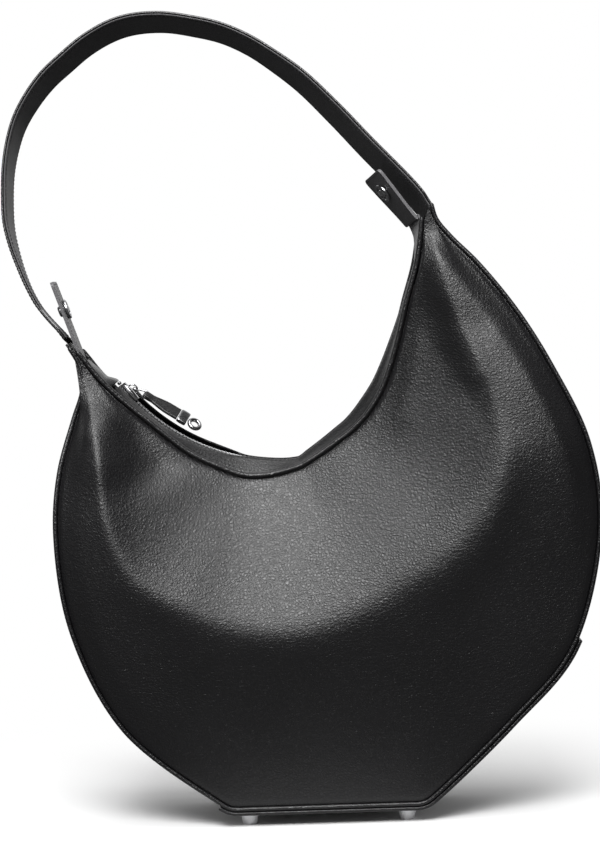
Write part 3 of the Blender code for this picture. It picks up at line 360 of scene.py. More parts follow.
def colour_setting(name, text, *value):
    """A colour."""
    return FloatVectorProperty(name=name, description=text, default=value, min=0.0, max=1.0, subtype="COLOR")


class HandbagShape(bpy.types.PropertyGroup):
    """Sizes that a user would change."""
    fold_height: share_setting("Fold height", "Height of the panels' soft folds as a share of the drawn ones", 1.0, 2.0)
    ridge_softness: share_setting("Belly softness", "How gently the belly turns over its ridge, as a share of a rib",
                                  0.085, 0.3, 0.03)
    gusset_sag: length_setting("Gusset sag", "How far the gusset's middle sinks between its two pipings", 1.1 * MM,
                               3 * MM)
    stitch_pitch: length_setting("Stitch pitch", "Distance from one stitch to the next", 2.7 * MM, 6 * MM, 1 * MM)
    stitch_length: length_setting("Stitch length", "Visible length of one stitch", 2.0 * MM, 5 * MM, 0.5 * MM)
    thread_radius: length_setting("Thread radius", "Radius of the sewing thread", 0.24 * MM, 0.6 * MM, 0.1 * MM)
    tooth_pitch: length_setting("Tooth pitch", "Distance from one zip tooth to the next on the same tape", 2.5 * MM,
                                5 * MM, 1.5 * MM)
    round_sides: IntProperty(
        name="Round sides", description="Sides of a turned metal piece", default=56, min=16, max=128)


class HandbagFinish(bpy.types.PropertyGroup):
    """Colours and gloss of the leather, cloth, thread and metal."""
    body_colour: colour_setting("Body leather", "Colour of the body leather", 0.0050, 0.0048, 0.0054)
    # The strap's two colours are partly its own leather's tones and partly raised as painted light on the strap
    strap_tone_with_painted_light: colour_setting("Strap leather", "Colour of the strap's outer leather", 0.011, 0.0105, 0.011)
    strap_lining_tone_with_painted_light: colour_setting("Strap lining", "Colour of the strap's inner leather", 0.046, 0.045, 0.047)
    cloth_colour: colour_setting("Lining cloth", "Colour of the woven lining", 0.045, 0.040, 0.040)
    tape_colour: colour_setting("Zip tape", "Colour of the zip's woven tape", 0.010, 0.010, 0.011)
    thread_colour: colour_setting("Thread", "Colour of the sewing thread", 0.012, 0.012, 0.013)
    metal_colour: colour_setting("Metal", "Colour of the plated metal", 0.45, 0.45, 0.46)
    leather_roughness: share_setting("Leather roughness", "Roughness of the body leather between its pores", 0.31,
                                     least=0.1)
    leather_specular: share_setting("Leather shine", "Specular level of the leather's finish", 0.5)
    grain_size: length_setting("Grain size", "Width of one pebble of the leather's grain", 2.0 * MM, 4 * MM, 0.4 * MM)
    grain_height: length_setting("Grain height", "Height of the pebbles over the creases between them", 0.11 * MM,
                                 0.5 * MM)


class HandbagStudio(bpy.types.PropertyGroup):
    """Camera, lamps and the room that light and shine come from."""
    camera_distance: length_setting("Camera distance", "Distance from the camera to the point that it looks at",
                                    1800 * MM, 10.0, 0.5)
    camera_height: length_setting("Aim height", "Height of the point that the camera looks at", 252.72 * MM, 1.0)
    camera_elevation: angle_setting("Elevation", "Angle of the camera above the horizon", 3.0)
    camera_roll: angle_setting("Roll", "Turn of the camera about its line of sight", -1.814)
    camera_lens: FloatProperty(
        name="Lens", description="Focal length for a sensor of 36 mm over the long side",
        default=116.87, min=20.0, max=400.0)
    key_power: power_setting("Key power", "Power of the large lamp above the front", 44.0)
    top_power: power_setting("Top power", "Power of the lamp straight above the bag", 14.0)
    left_power: power_setting("Left power", "Power of the upright lamp on the left", 0.5)
    right_power: power_setting("Right power", "Power of the upright lamp on the right", 0.5)
    world_level: share_setting("Ambient level", "Strength of the even light from all round", 0.40, 2.0)
    room_level: share_setting("Room level", "Strength of the dim room in front that a shine mirrors", 0.02, 2.0)
    backdrop_level: share_setting("Backdrop level", "How much lighter a shine mirrors the backdrop behind the bag",
                                  0.9, 2.0)


def shape():
    """The shape settings of the scene."""
    return bpy.context.scene.handbag_shape


def finish():
    """The finish settings of the scene."""
    return bpy.context.scene.handbag_finish


# Curves and surfaces

def unit(vectors):
    """Vectors of length one."""
    return vectors / np.linalg.norm(vectors, axis=-1, keepdims=True)


def smooth_step(values):
    """Ease from 0 to 1 with level ends: 3 t^2 - 2 t^3."""
    t = np.clip(values, 0.0, 1.0)
    return t * t * (3 - 2 * t)


def between(values, rise_from, rise_to, fall_from, fall_to):
    """Ease up from 0 to 1 over the first stretch and back to 0 over the second."""
    rise = smooth_step((values - rise_from) / (rise_to - rise_from))
    return rise * (1 - smooth_step((values - fall_from) / (fall_to - fall_from)))


def spline(rows, knots, wanted):
    """A Catmull-Rom curve through rows at knots, read at the wanted knot values.

    Each stretch is a cubic whose end slopes are the weighted mean of the chords that meet there.
    """
    steps = np.diff(knots)
    chords = np.diff(rows, axis=0) / steps[:, None]
    slopes = np.empty_like(rows)
    slopes[0] = chords[0]
    slopes[-1] = chords[-1]
    weight = steps[1:] / (steps[1:] + steps[:-1])
    slopes[1:-1] = weight[:, None] * chords[:-1] + (1 - weight)[:, None] * chords[1:]
    span = np.clip(np.searchsorted(knots, wanted, side="right") - 1, 0, len(steps) - 1)
    step = steps[span][:, None]
    t = ((wanted - knots[span]) / steps[span])[:, None]
    return hermite(rows[span], rows[span + 1], slopes[span] * step, slopes[span + 1] * step, t)


def run_length(points):
    """Distance run along a line of points, from 0 at the first."""
    return np.concatenate([[0.0], np.cumsum(np.linalg.norm(np.diff(points, axis=0), axis=1))])


def read_along(rows, run, at):
    """Rows of values along a line, read at distances along it."""
    return np.stack([np.interp(at, run, column) for column in rows.T], axis=-1)


def hermite(start, end, leave, arrive, t):
    """A cubic from start to end with the slopes leave and arrive, at t from 0 to 1."""
    return (start * (2 * t ** 3 - 3 * t ** 2 + 1) + end * (3 * t ** 2 - 2 * t ** 3)
            + leave * (t ** 3 - 2 * t ** 2 + t) + arrive * (t ** 3 - t ** 2))


RIB_SIZES = RIB_SHARES * np.array([BAG_WIDTH, BAG_HEIGHT, BAG_WIDTH, BAG_HEIGHT, BAG_DEPTH / 2, BAG_DEPTH / 2,
                                   1.0, MOUTH_DEPTH])
RIB_KNOTS = np.concatenate([[0.0], np.cumsum(np.sqrt(np.linalg.norm(np.diff(RIB_SIZES[:, 2:4], axis=0), axis=1)))])


def at_ribs(places):
    """All eight rib values, in metres, at places counted in ribs."""
    knots = np.interp(places, np.arange(len(RIB_KNOTS)), RIB_KNOTS)
    return spline(RIB_SIZES, RIB_KNOTS, knots)


def even_places(first, last, column, pitch):
    """Places from first to last, evenly spaced along the mouth (column 0) or the seam (column 2)."""
    fine = np.linspace(first, last, 900)
    run = run_length(at_ribs(fine)[:, column:column + 2])
    count = max(2, round(run[-1] / pitch))
    return np.interp(np.linspace(0.0, run[-1], count + 1), run, fine)


def moved(place, length):
    """The place that lies a length further along the mouth."""
    step = 0.01
    ends = at_ribs(np.array([place - step, place + step]))[:, 0:2]
    return place + length * 2 * step / np.linalg.norm(ends[1] - ends[0])


def curve_normals(places, column):
    """Unit normals in the XZ plane: into the handle's loop for the mouth, away from the bag for the seam."""
    step = 0.02
    top = len(RIB_SHARES) - 1
    ahead = at_ribs(np.minimum(places + step, top))[:, column:column + 2]
    behind = at_ribs(np.maximum(places - step, 0))[:, column:column + 2]
    along = unit(ahead - behind)
    turn = 1.0 if column == 0 else -1.0
    return turn * np.stack([-along[:, 1], along[:, 0]], axis=1)


def seam_points(places, inset):
    """The seam line in the XZ plane, moved into the bag by inset, with its normals."""
    normals = curve_normals(places, 2)
    return at_ribs(places)[:, 2:4] - normals * inset, normals


def mouth_points(places, rise):
    """The mouth line in the XZ plane, moved into the loop by rise, with its normals."""
    normals = curve_normals(places, 0)
    return at_ribs(places)[:, 0:2] + normals * rise, normals


def raised_mouth(places):
    """The mouth line in the XZ plane raised by the zip's crown, with its normals."""
    line, normals = mouth_points(places, 0.0)
    return line + normals * at_ribs(places)[:, 7:8], normals


def zip_arc():
    """Centre and radius of the circle through three points of the raised mouth line."""
    first, second, third = raised_mouth(np.array(ZIP_ARC_THROUGH))[0]
    sides = 2 * np.array([second - first, third - first])
    squares = np.array([second @ second - first @ first, third @ third - first @ first])
    centre = np.linalg.solve(sides, squares)
    return centre, np.linalg.norm(first - centre)


def chain_points(places):
    """The zip's middle line: the mouth line raised by the crown, and a true arc where the slider runs."""
    raised, normals = raised_mouth(places)
    centre, radius = zip_arc()
    on_arc = centre + unit(raised - centre) * radius
    share = between(places, *ZIP_ARC_RIBS)[:, None]
    line = raised + (on_arc - raised) * share
    inward = unit(normals + (unit(centre - on_arc) - normals) * share)
    return line, inward


def in_space(flat, depth):
    """Points of the XZ plane and their depths as points in space."""
    flat, depth = np.broadcast_arrays(flat, np.asarray(depth)[..., None] * np.ones(2))
    return np.stack([flat[..., 0], depth[..., 0], flat[..., 1]], axis=-1)


def in_plane(flat):
    """Points or directions of the XZ plane in space."""
    return in_space(flat, np.zeros(flat.shape[:-1]))


def fold_height(flat):
    """Height of the panel's soft folds at points of the XZ plane.

    Each fold is a bell across its line, h exp(-(d / w)^2), that fades out over its two ends.
    """
    total = np.zeros(flat.shape[:-1])
    for x0, z0, x1, z1, width, height in PANEL_FOLDS:
        start = np.array([x0, z0]) * MM
        way = np.array([x1 - x0, z1 - z0]) * MM
        share = ((flat - start) @ way) / (way @ way)
        near = start + np.clip(share, 0.0, 1.0)[..., None] * way
        distance = np.linalg.norm(flat - near, axis=-1)
        total += height * MM * np.exp(-(distance / (width * MM)) ** 2) * smooth_step(1.3 - np.abs(share - 0.5))
    return total * shape().fold_height


def tent(values, ridge, softness):
    """A soft tent from 0 at both ends to about 1 at the ridge: the smooth minimum of two straight slopes."""
    rising = values / ridge
    falling = (1 - values) / (1 - ridge)
    return -softness * np.log(np.exp(-rising / softness) + np.exp(-falling / softness))


def panel_middle(places, shares, softness, inset=2 * PIPING_RADIUS + GAP):
    """The middle surface of a body panel: flat points and half depths; rows follow the ribs.

    Along a rib the half depth goes evenly from mouth to seam, plus a soft tent with its ridge at the belly.
    """
    rib = at_ribs(places)
    mouth = rib[:, 0:2]
    edge = seam_points(places, 2 * PIPING_RADIUS + GAP)[0]
    seam = seam_points(places, inset)[0]
    reach = np.linalg.norm(seam - mouth, axis=1) / np.linalg.norm(edge - mouth, axis=1)
    v = shares[None, :] * reach[:, None]
    flat = mouth[:, None] + (seam - mouth)[:, None] * shares[None, :, None]
    peak = (1 - FRAME_SOFTNESS_SHARE * math.log(2)) / (1 - softness * math.log(2))
    rise = np.maximum(tent(v, rib[:, 6:7], softness), 0.0) * peak
    depth = MOUTH_DEPTH / 2 + (rib[:, 4:5] - MOUTH_DEPTH / 2) * v + rib[:, 5:6] * rise
    return flat, depth


def facing_edge():
    """Half depth at which the facing starts beside the binding."""
    return MOUTH_DEPTH / 2 - BINDING_RADIUS - GAP


def zip_surface(places, half_depths):
    """The zip panel's upper surface at half depths from the middle: a quarter sine from edge to crown."""
    low = mouth_points(places, BINDING_RADIUS + GAP)[0]
    high, normals = chain_points(places)
    reach = facing_edge() - TAPE_HALF_WIDTH
    rise = np.sin(np.clip((facing_edge() - np.abs(half_depths)) / reach, 0.0, 1.0) * math.pi / 2)
    flat = low[:, None] + (high - low)[:, None] * rise[None, :, None]
    return in_space(flat, half_depths[None, :]), in_plane(normals)


def zip_frame(degrees):
    """Place, running direction and upward direction on the zip's arc at an angle about its centre."""
    turn = math.radians(degrees)
    out = np.array([math.cos(turn), 0.0, math.sin(turn)])
    along = np.array([-math.sin(turn), 0.0, math.cos(turn)])
    (x, z), radius = zip_arc()
    return np.array([x, 0.0, z]) + out * radius, along, -out


def slider_frame():
    """The slider's middle at rest, where its end stands at the teeth's left end."""
    centre, radius = zip_arc()
    x, z = chain_points(np.array([ZIP_RIBS[0]]))[0][0] - centre
    return zip_frame(math.degrees(math.atan2(z, x) + (SLIDER_LENGTH / 2 + GAP) / radius))


def slider_base():
    """Height of the slider's underside over the zip's middle line."""
    return (TEETH_HEIGHT - TAPE_WALL) / 2 + SLIDER_LIFT


def pull_frame():
    """The pull's hinge, its direction at rest and its upward direction."""
    centre, along, up = slider_frame()
    eye = centre + up * (slider_base() + SLIDER_TOP_WALL + BRIDGE_EYE_HEIGHT)
    tilt = math.radians(PULL_TILT_DEGREES)
    return eye, along * math.cos(tilt) + up * math.sin(tilt), up * math.cos(tilt) - along * math.sin(tilt)


def pull_turn(reach):
    """Sideways and upward directions of the pull at reaches from its hinge: the link lets it roll forwards."""
    _eye, _way, rise = pull_frame()
    roll = math.radians(PULL_ROLL_DEGREES) * smooth_step(np.asarray(reach) / LINK_LENGTH)[..., None]
    return ACROSS * np.cos(roll) + rise * np.sin(roll), rise * np.cos(roll) - ACROSS * np.sin(roll)


def strap_ends():
    """The two ends of the strap's base line in the XZ plane, each set in from the seam's end at its corner."""
    left = RIB_SIZES[0, 2:4] + np.array([STRAP_LEFT_IN, STRAP_LEFT_UP])
    right = RIB_SIZES[-1, 2:4] - np.array([STRAP_RIGHT_IN, STRAP_RIGHT_DOWN])
    return left, right


def strap_span():
    """Distance between the strap's two ends."""
    left, right = strap_ends()
    return np.linalg.norm(right - left)


def strap_axes():
    """The strap's root, the line through its ends, and its upright, rising and forward directions."""
    left, right = strap_ends()
    x, z = unit(right - left)
    lean = math.radians(STRAP_LEAN_DEGREES)
    root = np.array([left[0], 0.0, left[1]])
    along = np.array([x, 0.0, z])
    upright = np.array([-z, 0.0, x])
    rising = upright * math.cos(lean) + ACROSS * math.sin(lean)
    forward = upright * math.sin(lean) - ACROSS * math.cos(lean)
    return root, along, upright, rising, forward


def strap_rows(sections):
    """Frames along the strap: middle of the outer face, wide and thick directions, and half width.

    The strap keeps its width down to its two seats and narrows a little over the last few millimetres.
    """
    root, along, _upright, rising, forward = strap_axes()
    half = STRAP_WIDTH / 2
    table = np.column_stack([STRAP_LINE_SHARES * np.array([strap_span(), STRAP_RISE]),
                             STRAP_TWIST_SHARES * math.pi / 2])
    knots = run_length(table[:, :2])
    fine = np.linspace(0.0, knots[-1], 1200)
    line = spline(table, knots, fine)
    top = int(np.argmax(line[:, 1]))
    turns = np.linspace(STRAP_END_TURN_SHARE, 1.0, 14) * math.pi / 2
    rises = STRAP_BEND_RISE - half * np.cos(turns)
    left = np.interp(rises, line[:top, 1], fine[:top])
    right = np.interp([-STRAP_RIGHT_TAIL, -STRAP_RIGHT_TAIL / 2, *rises], line[:top:-1, 1], fine[:top:-1])[::-1]
    wanted = np.concatenate([left, np.linspace(left[-1], right[0], sections)[1:-1], right])
    rows = spline(table, knots, wanted)
    width = half * (0.94 + 0.06 * smooth_step(rows[:, 1] / (7 * MM)))
    tangent = unit(np.gradient(rows[:, :2], run_length(rows[:, :2]), axis=0))
    inward = tangent[:, 1:2] * along - tangent[:, 0:1] * rising
    twist = rows[:, 2:3]
    wide = forward * np.cos(twist) - inward * np.sin(twist)
    thick = inward * np.cos(twist) + forward * np.sin(twist)
    return root + rows[:, 0:1] * along + rows[:, 1:2] * rising, wide, thick, width


def tab_frame(side):
    """Base place, direction to the tip, direction into the loop, length, twists and stud inset of a tab."""
    root, along, upright, _rising, _forward = strap_axes()
    if side == "left":
        inset = GAP + GUSSET_WALL + TAB_LEFT_SPACE + TAB_WALL / 2
        base = in_plane(seam_points(np.array([TAB_LEFT_RIB]), inset)[0])[0]
        beside_strap = root + along * (STRAP_OUTER_WALL + GAP + STRAP_LINING_WALL + GAP + TAB_WALL / 2)
        way = unit(beside_strap - base)
        return base, way, np.array([way[2], 0.0, -way[0]]), TAB_LEFT_LENGTH, (0.0, 0.0), STUD_LEFT_INSET
    base, tip = (root + along * strap_span() * span + upright * STRAP_RISE * rise
                 for span, rise in (TAB_RIGHT_BASE_SHARES, TAB_RIGHT_TIP_SHARES))
    way = unit(tip - base)
    twists = (math.radians(TAB_RIGHT_BASE_TWIST_DEGREES), math.radians(TAB_RIGHT_TIP_TWIST_DEGREES))
    return base, way, unit(np.cross(way, ACROSS)), TAB_RIGHT_LENGTH, twists, STUD_RIGHT_INSET


def tab_turn(side, reach):
    """Width and wall directions of a tab at reaches from its base."""
    _base, _way, inward, length, twists, _inset = tab_frame(side)
    angle = (twists[0] + (twists[1] - twists[0]) * smooth_step(np.asarray(reach) / length))[..., None]
    return ACROSS * np.cos(angle) + inward * np.sin(angle), inward * np.cos(angle) - ACROSS * np.sin(angle)


def base_level():
    """Height of the seam line along the flat base."""
    return RIB_SIZES[:, 3].min()


def foot_places():
    """Name, X and Y of each foot."""
    left, right = (BAG_WIDTH * share for share in FOOT_X_SHARES)
    return (("front_left", left, -FOOT_Y), ("front_right", right, -FOOT_Y),
            ("back_left", left, FOOT_Y), ("back_right", right, FOOT_Y))


# Meshes

def grid_quads(rows, columns, start=0, wrap=False):
    """Quads of a grid stored row by row; with wrap the last column joins the first."""
    i, j = np.meshgrid(np.arange(rows - 1), np.arange(columns if wrap else columns - 1), indexing="ij")
    k = (j + 1) % columns
    quads = np.stack([i * columns + j, i * columns + k, (i + 1) * columns + k, (i + 1) * columns + j], axis=-1)
    return start + quads.reshape(-1, 4)


def repeated_faces(count, rows, columns):
    """Faces of many closed blocks, each of rows rings with columns points and a cap at both ends."""
    starts = (np.arange(count) * rows * columns)[:, None, None]
    around = grid_quads(rows, columns, wrap=True)
    caps = np.stack([np.arange(columns)[::-1], (rows - 1) * columns + np.arange(columns)])
    return (starts + around).reshape(-1, 4).tolist() + (starts + caps).reshape(-1, columns).tolist()


def mesh_piece(name, points, faces, edge=None, uv=None):
    """A mesh object from points and faces, smooth with sharp corners, faces pointing out.

    edge is a value per point that fades from 1 at a worn edge to 0; uv is a pair per point in metres.
    """
    mesh = bpy.data.meshes.new(name)
    mesh.from_pydata(np.asarray(points, float).reshape(-1, 3).tolist(), [], faces)
    if uv is not None:
        layer = mesh.uv_layers.new(name="Flat")
        corners = np.empty(len(mesh.loops), np.int32)
        mesh.loops.foreach_get("vertex_index", corners)
        layer.data.foreach_set("uv", uv.reshape(-1, 2)[corners].astype(np.float32).ravel())
    if edge is not None:
        attribute = mesh.attributes.new("edge", "FLOAT", "POINT")
        attribute.data.foreach_set("value", edge.astype(np.float32).ravel())
    point_outwards(mesh)
    mesh.shade_smooth()
    mesh.set_sharp_from_angle(angle=math.radians(40))
    made = bpy.data.objects.new(name, mesh)
    bpy.context.scene.collection.objects.link(made)
    return made


def point_outwards(mesh):
    """Turn all the faces round where the enclosed volume comes out negative."""
    mesh.calc_loop_triangles()
    corners = np.empty(len(mesh.loop_triangles) * 3, np.int32)
    mesh.loop_triangles.foreach_get("vertices", corners)
    places = np.empty(len(mesh.vertices) * 3)
    mesh.vertices.foreach_get("co", places)
    a, b, c = places.reshape(-1, 3)[corners.reshape(-1, 3)].transpose(1, 0, 2)
    if np.einsum("ij,ij->", a, np.cross(b, c)) < 0:
        mesh.flip_normals()


def sheet_piece(name, upper, lower, edge=None, uv=None, rim_radius=0.0):
    """A closed sheet between two grids of the same size, with its cut edges rounded by a bevel."""
    rows, columns = upper.shape[:2]
    count = rows * columns
    top = grid_quads(rows, columns)
    bottom = grid_quads(rows, columns, count)[:, ::-1]
    border = np.concatenate([np.arange(columns), np.arange(1, rows) * columns + columns - 1,
                             (rows - 1) * columns + np.arange(columns - 2, -1, -1),
                             np.arange(rows - 2, 0, -1) * columns])
    after = np.roll(border, -1)
    wall = np.stack([border, border + count, after + count, after], axis=1)
    points = np.concatenate([upper.reshape(-1, 3), lower.reshape(-1, 3)])
    double_edge = None if edge is None else np.concatenate([edge.ravel(), edge.ravel()])
    double_uv = None if uv is None else np.concatenate([uv.reshape(-1, 2), uv.reshape(-1, 2)])
    faces = np.concatenate([top, bottom, wall]).tolist()
    made = mesh_piece(name, points, faces, double_edge, double_uv)
    if rim_radius > 0:
        round_edges(made, rim_radius)
    return made


def tube_piece(name, loops, closed=False, edge=None, uv=None):
    """A tube through rings of points; an open one gets a flat cap at each end."""
    rows, columns = loops.shape[:2]
    faces = grid_quads(rows, columns, wrap=True).tolist()
    if closed:
        j = np.arange(columns)
        last = (rows - 1) * columns
        k = (j + 1) % columns
        faces += np.stack([last + j, last + k, k, j], axis=1).tolist()
    else:
        faces += [list(range(columns))[::-1], list(range((rows - 1) * columns, rows * columns))]
    return mesh_piece(name, loops, faces, edge, uv)


def round_edges(piece, radius, segments=3, degrees=50):
    """Round a piece's sharp corners with a bevel."""
    bevel = piece.modifiers.new("rounded edges", "BEVEL")
    bevel.width = radius
    bevel.segments = segments
    bevel.limit_method = "ANGLE"
    bevel.angle_limit = math.radians(degrees)
    bevel.harden_normals = False
    return piece


def circle(sides):
    """Cosines and sines of evenly spaced turns."""
    turns = np.arange(sides) * 2 * math.pi / sides
    return np.cos(turns), np.sin(turns)


def sweep(path, side, up, half_width, half_height, sides, power=1.0):
    """Rings of a rounded section carried along a path.

    The section is a superellipse: w |cos t|^p across and h |sin t|^p upwards, with their signs.
    """
    cosines, sines = circle(sides)
    across = np.sign(cosines) * np.abs(cosines) ** power
    rise = np.sign(sines) * np.abs(sines) ** power
    side = np.broadcast_to(side, path.shape)
    up = np.broadcast_to(up, path.shape)
    half_width = np.broadcast_to(half_width, len(path))[:, None, None]
    half_height = np.broadcast_to(half_height, len(path))[:, None, None]
    return (path[:, None] + side[:, None] * half_width * across[None, :, None]
            + up[:, None] * half_height * rise[None, :, None])


def domed(loops):
    """The same rings with a dome added at each end: each ring shrinks by a cosine as it moves out by a sine."""
    middle = loops.mean(axis=1)
    radius = np.linalg.norm(loops - middle[:, None], axis=2).min(axis=1)
    turns = np.linspace(0.0, 1.0, DOME_STEPS + 1)[1:, None, None] * math.radians(84)
    start = unit(middle[0] - middle[1])
    end = unit(middle[-1] - middle[-2])
    first = middle[0] + (loops[0] - middle[0])[None] * np.cos(turns) + start * radius[0] * np.sin(turns)
    last = middle[-1] + (loops[-1] - middle[-1])[None] * np.cos(turns) + end * radius[-1] * np.sin(turns)
    return np.concatenate([first[::-1], loops, last])


def turned_piece(name, origin, axis, profile, edge_radius=0.0):
    """A turned piece: profile pairs of radius and distance along the axis, carried once round it."""
    axis = unit(np.asarray(axis, float))
    helper = ACROSS if abs(axis[1]) < 0.7 else np.array([1.0, 0.0, 0.0])
    side = unit(np.cross(axis, helper))
    cosines, sines = circle(shape().round_sides)
    spokes = cosines[:, None] * side + sines[:, None] * np.cross(axis, side)
    profile = np.asarray(profile, float)
    loops = np.asarray(origin) + profile[:, 1, None, None] * axis + profile[:, 0, None, None] * spokes[None]
    made = tube_piece(name, loops)
    if edge_radius > 0:
        round_edges(made, edge_radius, degrees=20)
    return made


def stitch_piece(name, line, up, pitch=None, length=None):
    """A row of stitches at even steps along a line.

    Each stitch is a capsule: a superellipse of revolution that dips into the leather at both ends.
    """
    settings = shape()
    pitch = pitch or settings.stitch_pitch
    length = length or settings.stitch_length
    run = run_length(line)
    count = max(1, int(run[-1] / pitch))
    centres = (np.arange(count) + 0.5) * run[-1] / count
    middle = read_along(line, run, centres)
    along = unit(read_along(line, run, centres + length / 2) - read_along(line, run, centres - length / 2))
    rise = unit(read_along(up, run, centres))
    rise = unit(rise - along * np.sum(rise * along, axis=1, keepdims=True))
    side = np.cross(rise, along)
    turns = np.radians([172, 140, 90, 40, 8])
    reach = np.cos(turns) * length / 2
    girth = np.sin(turns) ** 0.5 * settings.thread_radius
    cosines, sines = circle(6)
    dip = -(reach / (length / 2)) ** 2 * settings.thread_radius * 0.8
    points = (middle[:, None, None] + along[:, None, None] * reach[None, :, None, None]
              + side[:, None, None] * (girth[None, :, None] * cosines)[..., None]
              + rise[:, None, None] * (girth[None, :, None] * sines + dip[None, :, None])[..., None])
    return mesh_piece(name, points, repeated_faces(count, len(turns), len(cosines)))


def dress(piece, body, slot, replaces=(), bend=None, kind=None):
    """Give a finished piece its material and its body, and hide the frame nodes that it stands for.

    bend is the pair of places between which leather turns from the bag to a moving body; only whether it is given is
    used, and such a piece is baked in place and gets no body. The material is the one that is named after the slot,
    unless another kind is given.
    """
    piece.data.materials.append(material(kind or slot.replace("_", " ")))
    if bend is None:
        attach(piece, body)
    else:
        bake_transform(piece)
    if replaces:
        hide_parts(*replaces)


def sew(name, line, up, body="bag_body", slot="body_leather", bend=None, **sizes):
    """A row of stitches along a line, dressed in thread."""
    dress(stitch_piece(name, line, up, **sizes), body, slot, bend=bend, kind="thread")


# Materials

class Sock:
    """A shader socket in an expression: adding, multiplying and so on makes the Math nodes."""

    def __init__(self, shade, socket):
        self.shade = shade
        self.socket = socket

    def math(self, operation, *values):
        """A Math node on this socket and the other values."""
        return self.shade.math(operation, self, *values)

    def __add__(self, value):
        return self.math("ADD", value)

    def __sub__(self, value):
        return self.math("SUBTRACT", value)

    def __rsub__(self, value):
        return self.shade.math("SUBTRACT", value, self)

    def __mul__(self, value):
        return self.math("MULTIPLY", value)

    __radd__ = __add__
    __rmul__ = __mul__

    def least(self, value):
        """The smaller of the two."""
        return self.math("MINIMUM", value)

    def most(self, value):
        """The larger of the two."""
        return self.math("MAXIMUM", value)

    def ease(self, low, high):
        """0 below low, 1 above high and a smooth step between."""
        node = self.shade.node("ShaderNodeMapRange", {"interpolation_type": "SMOOTHSTEP"},
                               {"Value": self, "From Min": low, "From Max": high})
        return Sock(self.shade, node.outputs["Result"])


class Shade:
    """A node tree under construction: that of a new material, or the tree given."""

    def __init__(self, name, tree=None):
        if tree is None:
            self.material = bpy.data.materials.new(name)
            self.material.use_nodes = True
            tree = self.material.node_tree
            self.shader = tree.nodes["Principled BSDF"]
        self.tree = tree
        self.coordinates = self.node("ShaderNodeTexCoord").outputs
        self.place = self.coordinates["Object"]

    def feed(self, socket, value):
        """Link a socket or set its value."""
        if isinstance(value, Sock):
            value = value.socket
        if isinstance(value, bpy.types.NodeSocket):
            self.tree.links.new(value, socket)
        elif hasattr(value, "__len__") and len(value) == 3 and socket.type == "RGBA":
            socket.default_value = (*value, 1.0)
        else:
            socket.default_value = value

    def node(self, kind, settings=None, inputs=None):
        """A node of a kind, with its settings first and then its sockets' values or links."""
        made = self.tree.nodes.new(kind)
        for key, value in (settings or {}).items():
            setattr(made, key, value)
        for key, value in (inputs or {}).items():
            self.feed(made.inputs[key], value)
        return made

    def math(self, operation, *values):
        """A Math node on sockets and numbers."""
        return Sock(self, self.node("ShaderNodeMath", {"operation": operation}, dict(enumerate(values))).outputs[0])

    def noise(self, scale, detail=2.0, roughness=0.5, place=None):
        """Noise from 0 to 1 with a scale in waves per metre."""
        node = self.node("ShaderNodeTexNoise", None, {"Vector": place or self.place, "Scale": scale,
                                                      "Detail": detail, "Roughness": roughness})
        return Sock(self, node.outputs["Fac"])

    def cells(self, scale, place):
        """Distance to the nearest edge between Voronoi cells, as a share of a cell."""
        node = self.node("ShaderNodeTexVoronoi", {"feature": "DISTANCE_TO_EDGE"}, {"Vector": place, "Scale": scale})
        return Sock(self, node.outputs["Distance"])

    def warped(self, scale, amount):
        """Object coordinates shifted by noise, so that a pattern isn't regular."""
        noise = self.node("ShaderNodeTexNoise", None, {"Vector": self.place, "Scale": scale, "Detail": 1.0})
        return self.node("ShaderNodeVectorMath", {"operation": "MULTIPLY_ADD"},
                         {0: noise.outputs["Color"], 1: (amount,) * 3, 2: self.place}).outputs[0]

    def stretch(self, scale, turn=(0.0, 0.0, 0.0)):
        """Object coordinates stretched and turned."""
        return self.node("ShaderNodeMapping", None,
                         {"Vector": self.place, "Rotation": turn, "Scale": scale}).outputs[0]

    def mix(self, factor, first, second):
        """A mix of two colours."""
        node = self.node("ShaderNodeMix", {"data_type": "RGBA"}, {0: factor, 6: first, 7: second})
        return Sock(self, node.outputs[2])

    def ray(self, output):
        """1 for rays of the kind that an output of Light Path names, and 0 for the others."""
        return Sock(self, self.node("ShaderNodeLightPath").outputs[output])

    def bump(self, height, distance):
        """Feed a height in shares of distance to the shader's normal."""
        self.feed(self.shader.inputs["Normal"],
                  self.node("ShaderNodeBump", None, {"Height": height, "Distance": distance}).outputs[0])

    def done(self, colour, roughness, metallic=0.0, **constants):
        """Feed the main sockets and set constants on the others."""
        for key, value in {"Base Color": colour, "Roughness": roughness, "Metallic": metallic}.items():
            self.feed(self.shader.inputs[key], value)
        for key, value in constants.items():
            self.shader.inputs[key.replace("_", " ")].default_value = value
        return self.material


def lighter(colour, factor):
    """A colour multiplied by a factor."""
    return tuple(channel * factor for channel in colour)


